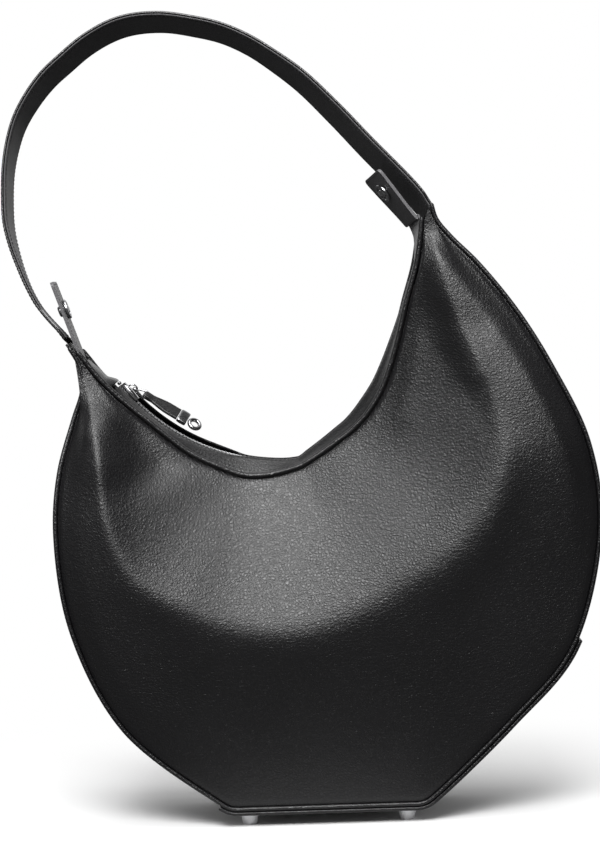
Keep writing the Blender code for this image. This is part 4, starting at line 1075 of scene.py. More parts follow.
def pebbled_leather(name, colour, roughness, specular, size, height):
    """Leather with pebbles between fine creases, pores, slow tone changes and worn edges."""
    s = Shade(name)
    place = s.warped(0.35 / size, size * 0.55)
    pebble = s.cells(1 / size, place).ease(0.0, 0.42)
    small = s.cells(2.3 / size, place).ease(0.0, 0.35)
    drawn = s.noise(1.0, 2.0, 0.55, s.stretch((300, 300, 760), (0.25, 0.15, 0.4)))
    pores = s.noise(4200, 1.0)
    slow = s.noise(14, 3.0)
    edge = Sock(s, s.node("ShaderNodeAttribute", {"attribute_name": "edge"}).outputs["Fac"])
    worn = edge * (0.5 + 0.5 * s.noise(220, 2.0).ease(0.35, 0.65))
    relief = pebble * 0.40 + small * 0.20 + drawn * 0.95 + pores * 0.04
    s.bump(relief, height * 2.2)
    tone = s.mix((slow.ease(0.3, 0.7) * 0.6 + pebble * 0.4).least(1.0), lighter(colour, 0.78),
                 lighter(colour, 1.2))
    tone = s.mix(worn * 0.4, tone, lighter(colour, 2.2))
    rough = roughness + 0.10 * (1 - pebble) + 0.08 * (slow - 0.5) - 0.10 * worn
    s.feed(s.shader.inputs["Coat Weight"], 0.25 * pebble)
    return s.done(tone, rough, Specular_IOR_Level=specular, Coat_Roughness=0.3)


def twisted_thread(name, colour):
    """Waxed thread: fine plies that catch a little light."""
    s = Shade(name)
    wave = s.node("ShaderNodeTexWave", {"bands_direction": "DIAGONAL"},
                  {"Vector": s.place, "Scale": 900.0, "Distortion": 1.5})
    ply = Sock(s, wave.outputs["Fac"])
    s.bump(ply, 0.06 * MM)
    return s.done(s.mix(ply, lighter(colour, 0.7), lighter(colour, 1.8)), 0.6 + 0.15 * ply,
                  Specular_IOR_Level=0.25)


def woven(name, colour, pitch, roughness):
    """Woven cloth: two sets of crossing threads from the piece's flat map."""
    s = Shade(name)
    flat = s.node("ShaderNodeUVMap", {"uv_map": "Flat"}).outputs[0]
    split = s.node("ShaderNodeSeparateXYZ", None, {0: flat})
    u = Sock(s, split.outputs[0]) * (math.pi / pitch)
    v = Sock(s, split.outputs[1]) * (math.pi / pitch)
    over = (u + v).math("SINE").math("ABSOLUTE")
    warp = u.math("SINE").math("ABSOLUTE") * over
    weft = v.math("SINE").math("ABSOLUTE") * (1 - over)
    threads = warp.most(weft)
    fuzz = s.noise(2600, 2.0)
    s.bump(threads * 0.8 + fuzz * 0.2, pitch * 0.35)
    tone = s.mix(threads * 0.7 + fuzz * 0.3, lighter(colour, 0.55), lighter(colour, 1.35))
    return s.done(tone, roughness + 0.08 * fuzz, Specular_IOR_Level=0.2)


def plated_metal(name, colour, roughness, brushed, metallic):
    """Plated metal with fine scratches and slow smears."""
    s = Shade(name)
    scratches = s.noise(1.0, 2.0, 0.6, s.stretch((600, 600, 5200) if brushed else (5200, 900, 900),
                                                 (0.4, 0.1, 0.3)))
    smear = s.noise(260, 2.0)
    s.bump(scratches, (0.03 if brushed else 0.008) * MM)
    tone = s.mix(smear.ease(0.3, 0.7), lighter(colour, 0.9), lighter(colour, 1.05))
    return s.done(tone, roughness + 0.10 * smear + 0.06 * scratches, metallic)


def pressed_board(name):
    """Grey-brown fibre board with short fibres."""
    s = Shade(name)
    fibres = s.noise(1.0, 3.0, 0.6, s.stretch((500, 900, 900)))
    s.bump(fibres, 0.1 * MM)
    return s.done(s.mix(fibres, (0.16, 0.13, 0.10), (0.27, 0.23, 0.18)), 0.8 + 0.1 * fibres)


def material(kind):
    """The material of a kind, made when it is first asked for."""
    name = kind + " finish"
    found = bpy.data.materials.get(name)
    if found is not None:
        return found
    f = finish()
    # Colour, roughness, and grain size and height as shares of the body's
    leathers = {"body leather": (f.body_colour, f.leather_roughness, 1.0, 1.0),
                # The strap's colours carry painted light as well as their own tone
                "strap leather": (f.strap_tone_with_painted_light, f.leather_roughness - 0.02, 0.8, 0.7),
                "strap lining": (f.strap_lining_tone_with_painted_light, 0.5, 0.6, 0.5),
                # Tab leather: the strap lining's colour made 1.7 times lighter, painted light on the same black leather
                # of the tabs and the right corner leather
                "tab leather": (lighter(f.strap_lining_tone_with_painted_light, 1.7), 0.42, 0.6, 0.5)}
    # Colour, distance between threads and roughness
    cloths = {"zip tape": (f.tape_colour, 0.55 * MM, 0.75), "lining cloth": (f.cloth_colour, 0.7 * MM, 0.8)}
    # Colour, roughness, whether it is brushed, and how metallic it is
    metals = {"polished metal": (f.metal_colour, 0.16, False, 1.0),
              "teeth metal": (lighter(f.metal_colour, 0.42), 0.30, False, 1.0),
              # Satin metal: the metal's colour doubled and only half metallic, partly its satin plating and partly a
              # painted reflection of the white floor, so the feet look white
              "satin metal": (lighter(f.metal_colour, 2.0), 0.38, True, 0.45)}
    if kind in leathers:
        colour, roughness, size, height = leathers[kind]
        return pebbled_leather(name, colour, roughness, f.leather_specular, f.grain_size * size,
                               f.grain_height * height)
    if kind in cloths:
        return woven(name, *cloths[kind])
    if kind in metals:
        return plated_metal(name, *metals[kind])
    if kind == "thread":
        return twisted_thread(name, f.thread_colour)
    if kind == "board":
        return pressed_board(name)
    raise ValueError(f"no finish is written for {kind}")


# Pieces

def edge_fade(distance, width):
    """1 at an edge, easing to 0 at a width from it."""
    return 1 - smooth_step(distance / width)


def flat_map(grid):
    """Distances in metres along the rows and the columns of a grid, averaged over it."""
    down = np.linalg.norm(np.diff(grid, axis=0), axis=2).mean(axis=1)
    over = np.linalg.norm(np.diff(grid, axis=1), axis=2).mean(axis=0)
    u = np.concatenate([[0.0], np.cumsum(down)])
    v = np.concatenate([[0.0], np.cumsum(over)])
    return np.stack(np.meshgrid(u, v, indexing="ij"), axis=-1)


def bell_mean(grid, rows, reach):
    """The mean of a grid's neighbours along its first axis, weighted by a bell and mirrored past both ends."""
    weights = np.exp(-(np.arange(-reach, reach + 1) / rows) ** 2)
    padded = np.concatenate([2 * grid[:1] - grid[reach:0:-1], grid, 2 * grid[-1:] - grid[-2:-reach - 2:-1]])
    return sum(w * padded[k:k + len(grid)] for k, w in enumerate(weights)) / weights.sum()


def eased_panel(places, shares, flat, depth):
    """The panel's lines of equal share with their corners rounded.

    Each point moves towards a bell-weighted mean of its neighbours along the line, not at all at the mouth or the
    seam. Its depth eases the same way, but only along the belly, away from the two corners.
    """
    share = between(shares, 0.0, 0.2, 0.7, 1.0)[None, :]
    belly = between(places, *BELLY_RIBS)[:, None]
    flat = flat + (bell_mean(flat, 20.0, 44) - flat) * share[..., None]
    return flat, depth + (bell_mean(depth, 14.0, 32) - depth) * share * belly


def flank_roll(places, from_seam):
    """How far the padded flanks stand out beside the seam: up over the roll, then gently down to the belly."""
    profile = smooth_step(from_seam / FLANK_ROLL) * (1 - smooth_step((from_seam - FLANK_ROLL) / FLANK_FADE))
    rise = FLANK_RIGHT_RISE * between(places, *FLANK_RIGHT_RIBS) + FLANK_LEFT_RISE * between(places, *FLANK_LEFT_RIBS)
    return profile * rise[:, None]


def make_panel(side_name, side):
    """One body panel: ribs from mouth to seam with a belly and soft folds, rolled in beside its seams."""
    places = even_places(*PANEL_RIBS, 2, PANEL_PITCH)
    shares = np.linspace(0.0, 1.0, 96)
    flat, depth = panel_middle(places, shares, shape().ridge_softness)
    flat, depth = eased_panel(places, shares, flat, depth)
    rib_run = np.linalg.norm(flat[:, -1] - flat[:, 0], axis=1)[:, None]
    from_mouth = shares[None, :] * rib_run
    from_seam = (1 - shares[None, :]) * rib_run
    room = smooth_step(from_mouth / FOLD_MOUTH_EASE) * smooth_step(from_seam / FOLD_SEAM_EASE)
    long = smooth_step((rib_run - SHORT_RIB) / SHORT_RIB_EASE)
    folds = fold_height(flat) * room * (FOLD_CORNER_SHARE + (1 - FOLD_CORNER_SHARE) * long)
    depth = depth + folds + flank_roll(places, from_seam)
    turned = edge_fade(from_seam, PANEL_SEAM_TURN) + edge_fade(from_mouth, PANEL_MOUTH_TURN)
    depth = depth - PANEL_EDGE_DROP * turned * long
    outer = in_space(flat, side * (depth + PANEL_WALL / 2))
    inner = in_space(flat, side * (depth - PANEL_WALL / 2))
    worn = np.maximum(edge_fade(from_seam, PANEL_WORN), edge_fade(from_mouth, PANEL_WORN))
    piece = sheet_piece(f"{side_name}_body_leather", outer, inner, worn, flat_map(outer))
    dress(piece, "bag_body", "body_leather", [f"{side_name}_panel"])


def make_gusset():
    """The gusset: the seam line carried across the depth, with a shallow hollow between its pipings."""
    places = even_places(*GUSSET_RIBS, 2, PANEL_PITCH)
    line, normals = seam_points(places, GAP)
    half = at_ribs(places)[:, 4] - PIPING_RADIUS - GAP
    across = np.linspace(-1.0, 1.0, 30)
    open_side = (1 - between(places, *BASE_RIBS)) * smooth_step((half - 20 * MM) / (20 * MM))
    sag = shape().gusset_sag * open_side[:, None] * (1 - across[None, :] ** 2)
    outer_flat = line[:, None] - normals[:, None] * sag[..., None]
    depth = half[:, None] * across[None, :]
    outer = in_space(outer_flat, depth)
    inner = in_space(outer_flat - normals[:, None] * GUSSET_WALL, depth)
    worn = edge_fade((1 - np.abs(across))[None, :] * half[:, None], GUSSET_WORN)
    piece = sheet_piece("gusset_leather", outer, inner, worn, flat_map(outer), GUSSET_RIM)
    dress(piece, "bag_body", "body_leather", ["gusset"])


def make_overlay():
    """The heavier leather round the base and the lower right side, with a stitch row along each edge."""
    places = even_places(*OVERLAY_RIBS, 2, OVERLAY_PITCH)
    line, normals = seam_points(places, -GAP)
    half = at_ribs(places)[:, 4] + PIPING_RADIUS
    across = np.linspace(-1.0, 1.0, 28)
    depth = half[:, None] * across[None, :]
    outer = in_space((line + normals * OVERLAY_WALL)[:, None], depth)
    inner = in_space(line[:, None], depth)
    worn = edge_fade((1 - np.abs(across))[None, :] * half[:, None], OVERLAY_WORN)
    piece = sheet_piece("base_overlay_leather", outer, inner, worn, flat_map(outer), OVERLAY_RIM)
    dress(piece, "bag_body", "body_leather", ["base_overlay"])
    top = line + normals * OVERLAY_WALL
    for name, side in SIDES:
        row = in_space(top, side * (half - OVERLAY_STITCH_INSET))
        sew(f"overlay_stitches_{name}", row, in_plane(normals))


def make_rolled_edge(name, line, normals, depth, radius, node):
    """A leather-wrapped cord along a seam, drawn in a little at each stitch."""
    path = in_space(line, depth)
    pinch = 1 - 0.02 * (1 + np.cos(run_length(path) / shape().stitch_pitch * 2 * math.pi))
    loops = domed(sweep(path, ACROSS, in_plane(normals), radius * pinch, radius * pinch, CORD_SIDES))
    run = np.pad(run_length(path), DOME_STEPS, mode="edge")
    turn = np.arange(CORD_SIDES) / CORD_SIDES * 2 * math.pi * radius
    uv = np.stack(np.meshgrid(run, turn, indexing="ij"), axis=-1)
    piece = tube_piece(name, loops, edge=np.full(loops.shape[:2], 0.55), uv=uv)
    dress(piece, "bag_body", "body_leather", [node])


def make_seams(name, side):
    """The piping in the seam between a panel and the gusset, and the rolled edge of the mouth beside that panel."""
    places = even_places(*PANEL_RIBS, 2, PIPING_PITCH)
    make_rolled_edge(f"{name}_piping_cord", *seam_points(places, PIPING_RADIUS), side * at_ribs(places)[:, 4],
                     PIPING_RADIUS, f"{name}_piping")
    places = even_places(*BINDING_RIBS, 0, BINDING_PITCH)
    make_rolled_edge(f"{name}_mouth_binding", *mouth_points(places, BINDING_RADIUS + GAP),
                     side * np.full(len(places), MOUTH_DEPTH / 2), BINDING_RADIUS, f"{name}_binding")


def make_zip_strip(name, places, half_depths, wall, above, slot, node, rim=0.0):
    """A strip of the zip panel: wall thick, with its upper face above the zip panel's surface."""
    surface, normals = zip_surface(places, half_depths)
    upper = surface + normals[:, None] * np.broadcast_to(above, surface.shape[:2])[..., None]
    lower = upper - normals[:, None] * wall
    from_edge = np.minimum(np.abs(half_depths - half_depths[0]), np.abs(half_depths - half_depths[-1]))
    worn = np.broadcast_to(edge_fade(from_edge, STRIP_WORN), upper.shape[:2])
    piece = sheet_piece(name, upper, lower, worn, flat_map(upper), rim)
    dress(piece, "bag_body", slot, [node])


def make_zip_panel():
    """Facings with their stitch rows, tapes, and the leather pieces that close both ends."""
    first, last = ZIP_RIBS
    places = even_places(first, last, 0, STRIP_PITCH)
    facing = np.linspace(facing_edge(), TAPE_HALF_WIDTH + GAP, 14)
    tape = np.linspace(TAPE_HALF_WIDTH, TEETH_HALF_WIDTH + GAP, 8)
    beside_pull = 1 - smooth_step((places - 7.4) / 1.8)
    rises = (FACING_FRONT_TURN * (1 - beside_pull),
             FACING_BACK_TURN * (0.4 + 0.6 * beside_pull) * smooth_step((places - first) / 0.5))
    for name, side, rise in (("front", -1.0, rises[0]), ("back", 1.0, rises[1])):
        turned = rise[:, None] * (1 - smooth_step((facing - facing[-1]) / TURN_WIDTH))[None, :]
        make_zip_strip(f"{name}_facing_leather", places, side * facing, FACING_WALL, turned, "body_leather",
                       f"{name}_zip_facing", FACING_RIM)
        make_zip_strip(f"{name}_tape_weave", places, side * tape, TAPE_WALL, 0.0, "zip_tape", f"{name}_zip_tape")
        for label, half_depth in (("outer", facing_edge() - STITCH_INSET),
                                  ("inner", TAPE_HALF_WIDTH + GAP + FOLD_STITCH_INSET)):
            surface, normals = zip_surface(places, np.array([side * half_depth]))
            lift = rise * (1 - smooth_step((half_depth - facing[-1]) / TURN_WIDTH))
            sew(f"{name}_facing_stitches_{label}", surface[:, 0] + normals * lift[:, None], normals)
    whole = np.linspace(facing_edge(), -facing_edge(), 34)
    start, end = ZIP_END_RIBS
    make_corner_leather(end)
    for name, low, high in (("left", start, moved(first, -ZIP_END_SPACE)),
                            ("right", moved(last, ZIP_END_SPACE), end)):
        row = even_places(low, high, 0, END_PITCH)
        make_zip_strip(f"{name}_end_leather", row, whole, FACING_WALL, 0.0, "body_leather", f"{name}_zip_end",
                       FACING_RIM)
        for label, side in SIDES:
            surface, normals = zip_surface(row, np.array([side * (facing_edge() - STITCH_INSET)]))
            sew(f"{name}_end_stitches_{label}", surface[:, 0], normals)


def make_corner_leather(place):
    """The leather that goes on from the right end piece up to the right tab, where a cross seam joins them.

    It is a Hermite loft: from the zip panel's surface at a place to a line behind the tab, a little above its
    base, leaving the one along the mouth and meeting the other along the tab.
    """
    base, way, _inward, _length, _twists, _inset = tab_frame("right")
    wide, inward = tab_turn("right", 0.0)
    across = np.linspace(-1.0, 1.0, 34)
    surface, normals = zip_surface(np.array([place - 0.1, place]), across * facing_edge())
    start = surface[1] - normals[1] * FACING_WALL / 2
    along = unit(surface[1] - surface[0])
    behind = TAB_WALL / 2 + GAP + FACING_WALL / 2
    end = base + way * CORNER_LAP - inward * behind + wide * (across * TAB_WIDTH / 2)[:, None]
    length = np.linalg.norm(end - start, axis=1, keepdims=True)
    t = np.linspace(0.0, 1.0, 26)[:, None, None]
    middle = hermite(start, end, along * length, way * length * 0.7, t)
    thick = unit(np.cross(np.gradient(middle, axis=0), np.gradient(middle, axis=1)))
    thick = thick * np.sign(np.sum(thick * normals[1], axis=2, keepdims=True))
    from_edge = np.broadcast_to((1 - np.abs(across)) * TAB_WIDTH / 2, middle.shape[:2])
    piece = sheet_piece("right_corner_leather", middle + thick * FACING_WALL / 2, middle - thick * FACING_WALL / 2,
                        edge_fade(from_edge, STRIP_WORN), flat_map(middle), CORNER_RIM)
    # This colour is painted light: the tab leather is lighter than the black leather itself
    dress(piece, "bag_body", "body_leather", kind="tab leather")
    seam = middle[CROSS_SEAM_ROW] + thick[CROSS_SEAM_ROW] * FACING_WALL / 2
    sew("cross_seam_stitches", seam[2:-2], thick[CROSS_SEAM_ROW][2:-2])


def make_teeth():
    """Two rows of metal teeth that mesh in the middle, and a stop at each end.

    A tooth is a block with a waist: its outline steps in behind the head, and every edge is chamfered.
    """
    pitch = shape().tooth_pitch
    fine = np.linspace(*ZIP_RIBS, 1200)
    line, inward = chain_points(fine)
    run = run_length(line)
    height = TEETH_HEIGHT / 2
    outline = ((-0.34, 0.02), (0.34, 0.02), (0.40, 0.30), (0.22, 0.48), (0.24, 0.70), (0.34, 1.0), (-0.34, 1.0),
               (-0.24, 0.70), (-0.22, 0.48), (-0.40, 0.30))
    for name, side, shift in (("front", -1.0, 0.25), ("back", 1.0, 0.75)):
        count = int((run[-1] - pitch) / pitch)
        at = (np.arange(count) + shift + 0.2) * pitch
        up = unit(in_plane(read_along(inward, run, at)))
        along = np.cross(ACROSS, up)
        block = np.array([[(a * pitch * share, side * TEETH_HALF_WIDTH * (b * share + (1 - share) * 0.5), h)
                           for a, b in outline]
                          for share, h in ((0.86, -height), (1.0, -height * 0.72), (1.0, height * 0.72),
                                           (0.86, height))])
        middle = in_plane(read_along(line, run, at)) - up * TAPE_WALL / 2
        points = (middle[:, None, None] + along[:, None, None] * block[None, ..., 0:1]
                  + ACROSS * block[None, ..., 1:2] + up[:, None, None] * block[None, ..., 2:3])
        piece = mesh_piece(f"{name}_teeth_row", points, repeated_faces(count, *block.shape[:2]))
        dress(piece, "bag_body", "polished_metal", [f"{name}_zip_teeth"], kind="teeth metal")
    for name, place, way in (("left", ZIP_RIBS[0], -1.0), ("right", ZIP_RIBS[1], 1.0)):
        flat, up = chain_points(np.array([place, place + 0.01 * way]))
        start, after = in_plane(flat)
        rise = in_plane(up)[0]
        reach = GAP + ZIP_STOP_LENGTH * np.linspace(0.04, 0.96, 7)[:, None]
        bulge = np.sin(np.linspace(0.22, 0.78, 7) * math.pi)
        loops = sweep(start - rise * TAPE_WALL / 2 + unit(after - start) * reach, ACROSS, rise,
                      TEETH_HALF_WIDTH * 0.96 * bulge ** 0.3, TEETH_HEIGHT / 2 * bulge, 20, 0.45)
        piece = round_edges(tube_piece(f"{name}_stop_metal", loops), 0.2 * MM)
        dress(piece, "bag_body", "polished_metal", [f"{name}_zip_stop"], kind="teeth metal")


def make_slider():
    """The slider's shouldered top plate with lips beside the teeth.

    The plate's section is a channel. Its width eases in to the two ends by a cosine, more so at one end, and its
    top falls to both ends by the fourth power of the distance from the middle.
    """
    centre, along, up = slider_frame()
    bottom = slider_base()
    top = bottom + SLIDER_TOP_WALL
    half = SLIDER_WIDTH / 2
    inner = half - SLIDER_LIP_WALL
    lip = bottom - SLIDER_LIP
    arc = np.linspace(0.0, math.pi / 2, 6)
    right = np.column_stack([half - SLIDER_SHOULDER + SLIDER_SHOULDER * np.cos(arc),
                             top - SLIDER_SHOULDER + SLIDER_SHOULDER * np.sin(arc)])
    left = right[::-1] * np.array([-1.0, 1.0])
    section = np.concatenate([[(-half, lip), (-inner, lip), (-inner, bottom), (inner, bottom), (inner, lip),
                               (half, lip)], right, left])
    reach = np.linspace(-1.0, 1.0, 25)
    width = 0.80 + 0.20 * np.cos(reach * math.pi / 2) ** 0.8 + 0.10 * reach * np.cos(reach * math.pi / 2)
    fall = SLIDER_END_FALL * reach ** 4
    y = section[None, :, 0] * np.where(np.abs(section[None, :, 0]) > inner * 0.99, width[:, None], 1.0)
    y = np.where(np.abs(section[None, :, 0]) > inner * 1.01, np.sign(section[None, :, 0])
                 * np.maximum(np.abs(y), inner + 0.35 * MM), section[None, :, 0])
    z = section[None, :, 1] - np.where(section[None, :, 1] > bottom * 1.01, fall[:, None], 0.0)
    loops = (centre + along * (reach * SLIDER_LENGTH / 2)[:, None, None] + ACROSS * y[..., None]
             + up * z[..., None])
    plate = round_edges(tube_piece("slider_plate", loops), 0.25 * MM)
    dress(plate, "zip_slider", "polished_metal", ["zip_slider"])


def make_bridge():
    """The slider's bridge: a flat band carried over an arch, half an ellipse from end to end."""
    centre, along, up = slider_frame()
    top = slider_base() + SLIDER_TOP_WALL
    turn = np.linspace(0.0, math.pi, 33)
    hump = BRIDGE_EYE_HEIGHT + BRIDGE_EYE_RADIUS + BRIDGE_CROWN - BRIDGE_WALL / 2
    path = (centre + along * (-np.cos(turn) * (BRIDGE_LENGTH - BRIDGE_WALL) / 2)[:, None]
            + up * (top - 0.4 * MM + (hump + 0.4 * MM) * np.sin(turn) ** 0.7)[:, None])
    tangent = unit(np.gradient(path, axis=0))
    loops = sweep(path, ACROSS, np.cross(tangent, ACROSS), BRIDGE_WIDTH / 2, BRIDGE_WALL / 2, 20, 0.5)
    dress(tube_piece("slider_bridge", loops), "zip_slider", "polished_metal")


def make_pull():
    """Wire link, leather tongue, metal end and ring, all turning about the slider's eye."""
    eye, way, _rise = pull_frame()
    corner = LINK_WIDTH / 6
    half = LINK_WIDTH / 2 - LINK_WIRE_RADIUS
    # Four round corners, each a quarter turn of nine points, joined by straight wire
    turn = np.radians(np.concatenate([start + np.linspace(0.0, 90.0, 9) for start in (180, 270, 0, 90)]))
    reach = np.where(np.cos(turn) < 0, corner, LINK_LENGTH - corner)
    reach[9:18] = LINK_LENGTH - corner
    reach[27:] = corner
    spread = np.repeat([-1.0, 1.0], 18) * (half - corner)
    wide, high = pull_turn(reach + corner * np.cos(turn))
    path = eye + way * (reach + corner * np.cos(turn))[:, None] + wide * (spread + corner * np.sin(turn))[:, None]
    out = way * np.cos(turn)[:, None] + wide * np.sin(turn)[:, None]
    loops = sweep(path, out, high, LINK_WIRE_RADIUS, LINK_WIRE_RADIUS, 14)
    link = tube_piece("pull_wire_link", loops, closed=True)
    dress(link, "zip_pull", "polished_metal", ["pull_link"])
    wide, high = pull_turn(LINK_LENGTH)
    make_tongue(eye, way)
    end_start = LINK_LENGTH - TONGUE_EYE_MARGIN + TONGUE_LENGTH + GAP
    share = np.linspace(0.0, 1.0, 13)
    bulge = 1 - 0.10 * (2 * share - 1) ** 4
    path = eye + way * (end_start + PULL_END_LENGTH * share)[:, None]
    loops = sweep(path, wide, high, PULL_END_WIDTH / 2 * bulge, PULL_END_WALL / 2 * bulge, 36, 0.32)
    end = round_edges(tube_piece("pull_end_metal", loops), 0.4 * MM)
    dress(end, "zip_pull", "polished_metal", ["pull_end"])
    ring_middle = eye + way * (end_start + PULL_END_LENGTH + GAP + PULL_RING_RADIUS + PULL_RING_WIRE)
    turns = (np.arange(40) * 2 * math.pi / 40)[:, None]
    spokes = np.cos(turns) * way + np.sin(turns) * wide
    loops = sweep(ring_middle + spokes * PULL_RING_RADIUS, spokes, high, PULL_RING_WIRE, PULL_RING_WIRE, 18)
    ring = tube_piece("pull_ring_metal", loops, closed=True)
    dress(ring, "zip_pull", "polished_metal", ["pull_ring"])


def make_tongue(eye, way):
    """The leather tongue: it widens from its neck to the metal end, with a stitch row along each side."""
    start = LINK_LENGTH - TONGUE_EYE_MARGIN
    share = np.linspace(0.0, 1.0, 40)
    widen = smooth_step((share - 0.10) / 0.62)
    half_width = (TONGUE_NECK_WIDTH + (TONGUE_END_WIDTH - TONGUE_NECK_WIDTH) * widen) / 2
    half_wall = TONGUE_WALL / 2 * (1.0 + 0.55 * (1 - smooth_step((share - 0.12) / 0.16)))
    half_wall = half_wall * np.sqrt(np.clip(1 - ((0.05 - share) / 0.052).clip(0) ** 2, 0.05, 1.0))
    path = eye + way * (start + TONGUE_LENGTH * share)[:, None]
    side, up = pull_turn(start + TONGUE_LENGTH * share)
    loops = sweep(path, side, up, half_width, half_wall, 32, 0.42)
    run = start + TONGUE_LENGTH * share
    uv = np.stack(np.meshgrid(run, np.linspace(0, 2 * TONGUE_END_WIDTH, 32), indexing="ij"), axis=-1)
    worn = np.broadcast_to(np.abs(circle(32)[0]) ** 8, loops.shape[:2])
    tongue = tube_piece("pull_tongue_leather", loops, edge=worn, uv=uv)
    dress(tongue, "zip_pull", "strap_leather", ["pull_tongue"])
    for name, sign in SIDES:
        row = path + side * (sign * (half_width - TONGUE_STITCH_INSET))[:, None] + up * (half_wall * 0.98)[:, None]
        sew(f"tongue_stitches_{name}", row[14:], up[14:], "zip_pull", "strap_leather",
            pitch=TONGUE_STITCH_PITCH, length=TONGUE_STITCH_LENGTH)


def strap_bend():
    """The two places between which the strap's leather turns from the bag to its swing."""
    root, _along, upright, rising, _forward = strap_axes()
    hinge = root + rising * STRAP_BEND_RISE
    return hinge - upright * STRAP_BEND_BELOW, hinge + upright * STRAP_BEND_ABOVE


def make_strap():
    """Outer leather and lining of the strap: a crowned band with turned edges and a stitch row near each.

    Across the band the face falls by c |s|^8 to its rounded edges and has a shallow groove for the stitches.
    """
    line, wide, thick, half = strap_rows(210)
    across = np.linspace(1.0, -1.0, 37)
    bend = strap_bend()
    inner = STRAP_OUTER_WALL + GAP
    inset = STRAP_STITCH_INSET
    for name, near, far, slot, margin in (
            ("outer", 0.0, STRAP_OUTER_WALL, "strap_leather", 0.0),
            ("lining", inner, inner + STRAP_LINING_WALL, "strap_lining", STRAP_LINING_MARGIN)):
        width = np.maximum(half - margin, 1.0 * MM)
        offset = across[None, :] * width[:, None]
        from_edge = width[:, None] - np.abs(offset)
        fall = STRAP_EDGE_FALL * np.abs(across[None, :]) ** 8 * smooth_step(width[:, None] / (12 * MM))
        groove = STRAP_GROOVE * np.exp(-((from_edge - inset + margin) / STRAP_GROOVE_WIDTH) ** 2)
        dip = fall + groove * smooth_step((width[:, None] - 8 * MM) / (8 * MM))
        sign = 1.0 if name == "outer" else -1.0
        faces = [near + (dip if name == "outer" else 0.0), far - (dip if name == "lining" else 0.0)]
        upper, lower = (line[:, None] + offset[..., None] * wide[:, None]
                        + thick[:, None] * (np.zeros_like(offset) + face)[..., None] for face in faces)
        piece = sheet_piece(f"strap_{name}_leather", upper, lower, edge_fade(from_edge, STRAP_WORN),
                            flat_map(upper), STRAP_RIM)
        dress(piece, "strap", slot, [f"strap_{name}"], bend)
        keep = half > STRAP_WIDTH / 2 * 0.8
        for label, edge in (("front", 1.0), ("back", -1.0)):
            face = near if name == "outer" else far
            row = (line + wide * (edge * (half - inset))[:, None]
                   + thick * (face + sign * STRAP_STITCH_LIFT))[keep]
            sew(f"strap_{name}_stitches_{label}", row, (-sign * thick)[keep], "strap", slot, bend)


def make_tab(side):
    """A leather tab with rounded tip corners and a stitch row round its edge."""
    base, way, _inward, length, _twists, inset = tab_frame(side)
    corner = TAB_CORNER_RADIUS
    half = TAB_WIDTH / 2
    turn = np.linspace(0.0, math.pi / 2, 10)
    reach = np.concatenate([np.linspace(0.0, length - corner, 46)[:-1], length - corner * (1 - np.sin(turn))])
    width = np.where(reach > length - corner,
                     half - corner + np.sqrt(np.maximum(corner ** 2 - (reach - length + corner) ** 2, 0.0)), half)
    slim = 0.3 + 0.7 * np.sqrt(np.clip(reach / (TAB_WALL / 2), 0.0, 1.0))
    across = np.linspace(-1.0, 1.0, 25)
    wide, thick = tab_turn(side, reach)
    line = base + way * reach[:, None]
    offset = across[None, :] * width[:, None]
    from_edge = np.minimum(width[:, None] - np.abs(offset), (length - reach)[:, None])
    middle = line[:, None] + wide[:, None] * offset[..., None]
    groove = TAB_GROOVE * np.exp(-((from_edge - TAB_STITCH_INSET) / TAB_GROOVE_WIDTH) ** 2)
    lift = thick[:, None] * (TAB_WALL / 2 * slim[:, None] - groove)[..., None]
    piece = sheet_piece(f"{side}_tab_leather", middle + lift, middle - lift,
                        edge_fade(from_edge, TAB_WORN), flat_map(middle), TAB_RIM)
    bend = (base, base + way * TAB_BEND_LENGTH)
    # The tab's lighter colour is painted light on black leather
    dress(piece, f"{side}_tab", "strap_leather", [f"{side}_tab"], bend, "tab leather")
    bow = np.linspace(0.0, math.pi / 2, 7)
    small = corner - TAB_STITCH_INSET
    inner_half = half - TAB_STITCH_INSET
    steps = 30
    up_run = np.linspace(TAB_STITCH_START, length - corner, steps)
    path_reach = np.concatenate([up_run, length - corner + small * np.sin(bow),
                                 (length - corner + small * np.cos(bow)), up_run[::-1]])
    path_side = np.concatenate([np.full(steps, -inner_half), -(half - corner) - small * np.cos(bow),
                                (half - corner) + small * np.sin(bow), np.full(steps, inner_half)])
    path_wide, path_thick = tab_turn(side, path_reach)
    for label, sign in (("inner", 1.0), ("outer", -1.0)):
        row = (base + way * path_reach[:, None] + path_wide * path_side[:, None]
               + path_thick * sign * (TAB_WALL / 2 - TAB_STITCH_SINK))
        sew(f"{side}_tab_stitches_{label}", row, path_thick * sign, f"{side}_tab", "strap_leather", bend)
    reach = length - inset
    make_stud(side, base + way * reach, tab_turn(side, reach)[1])


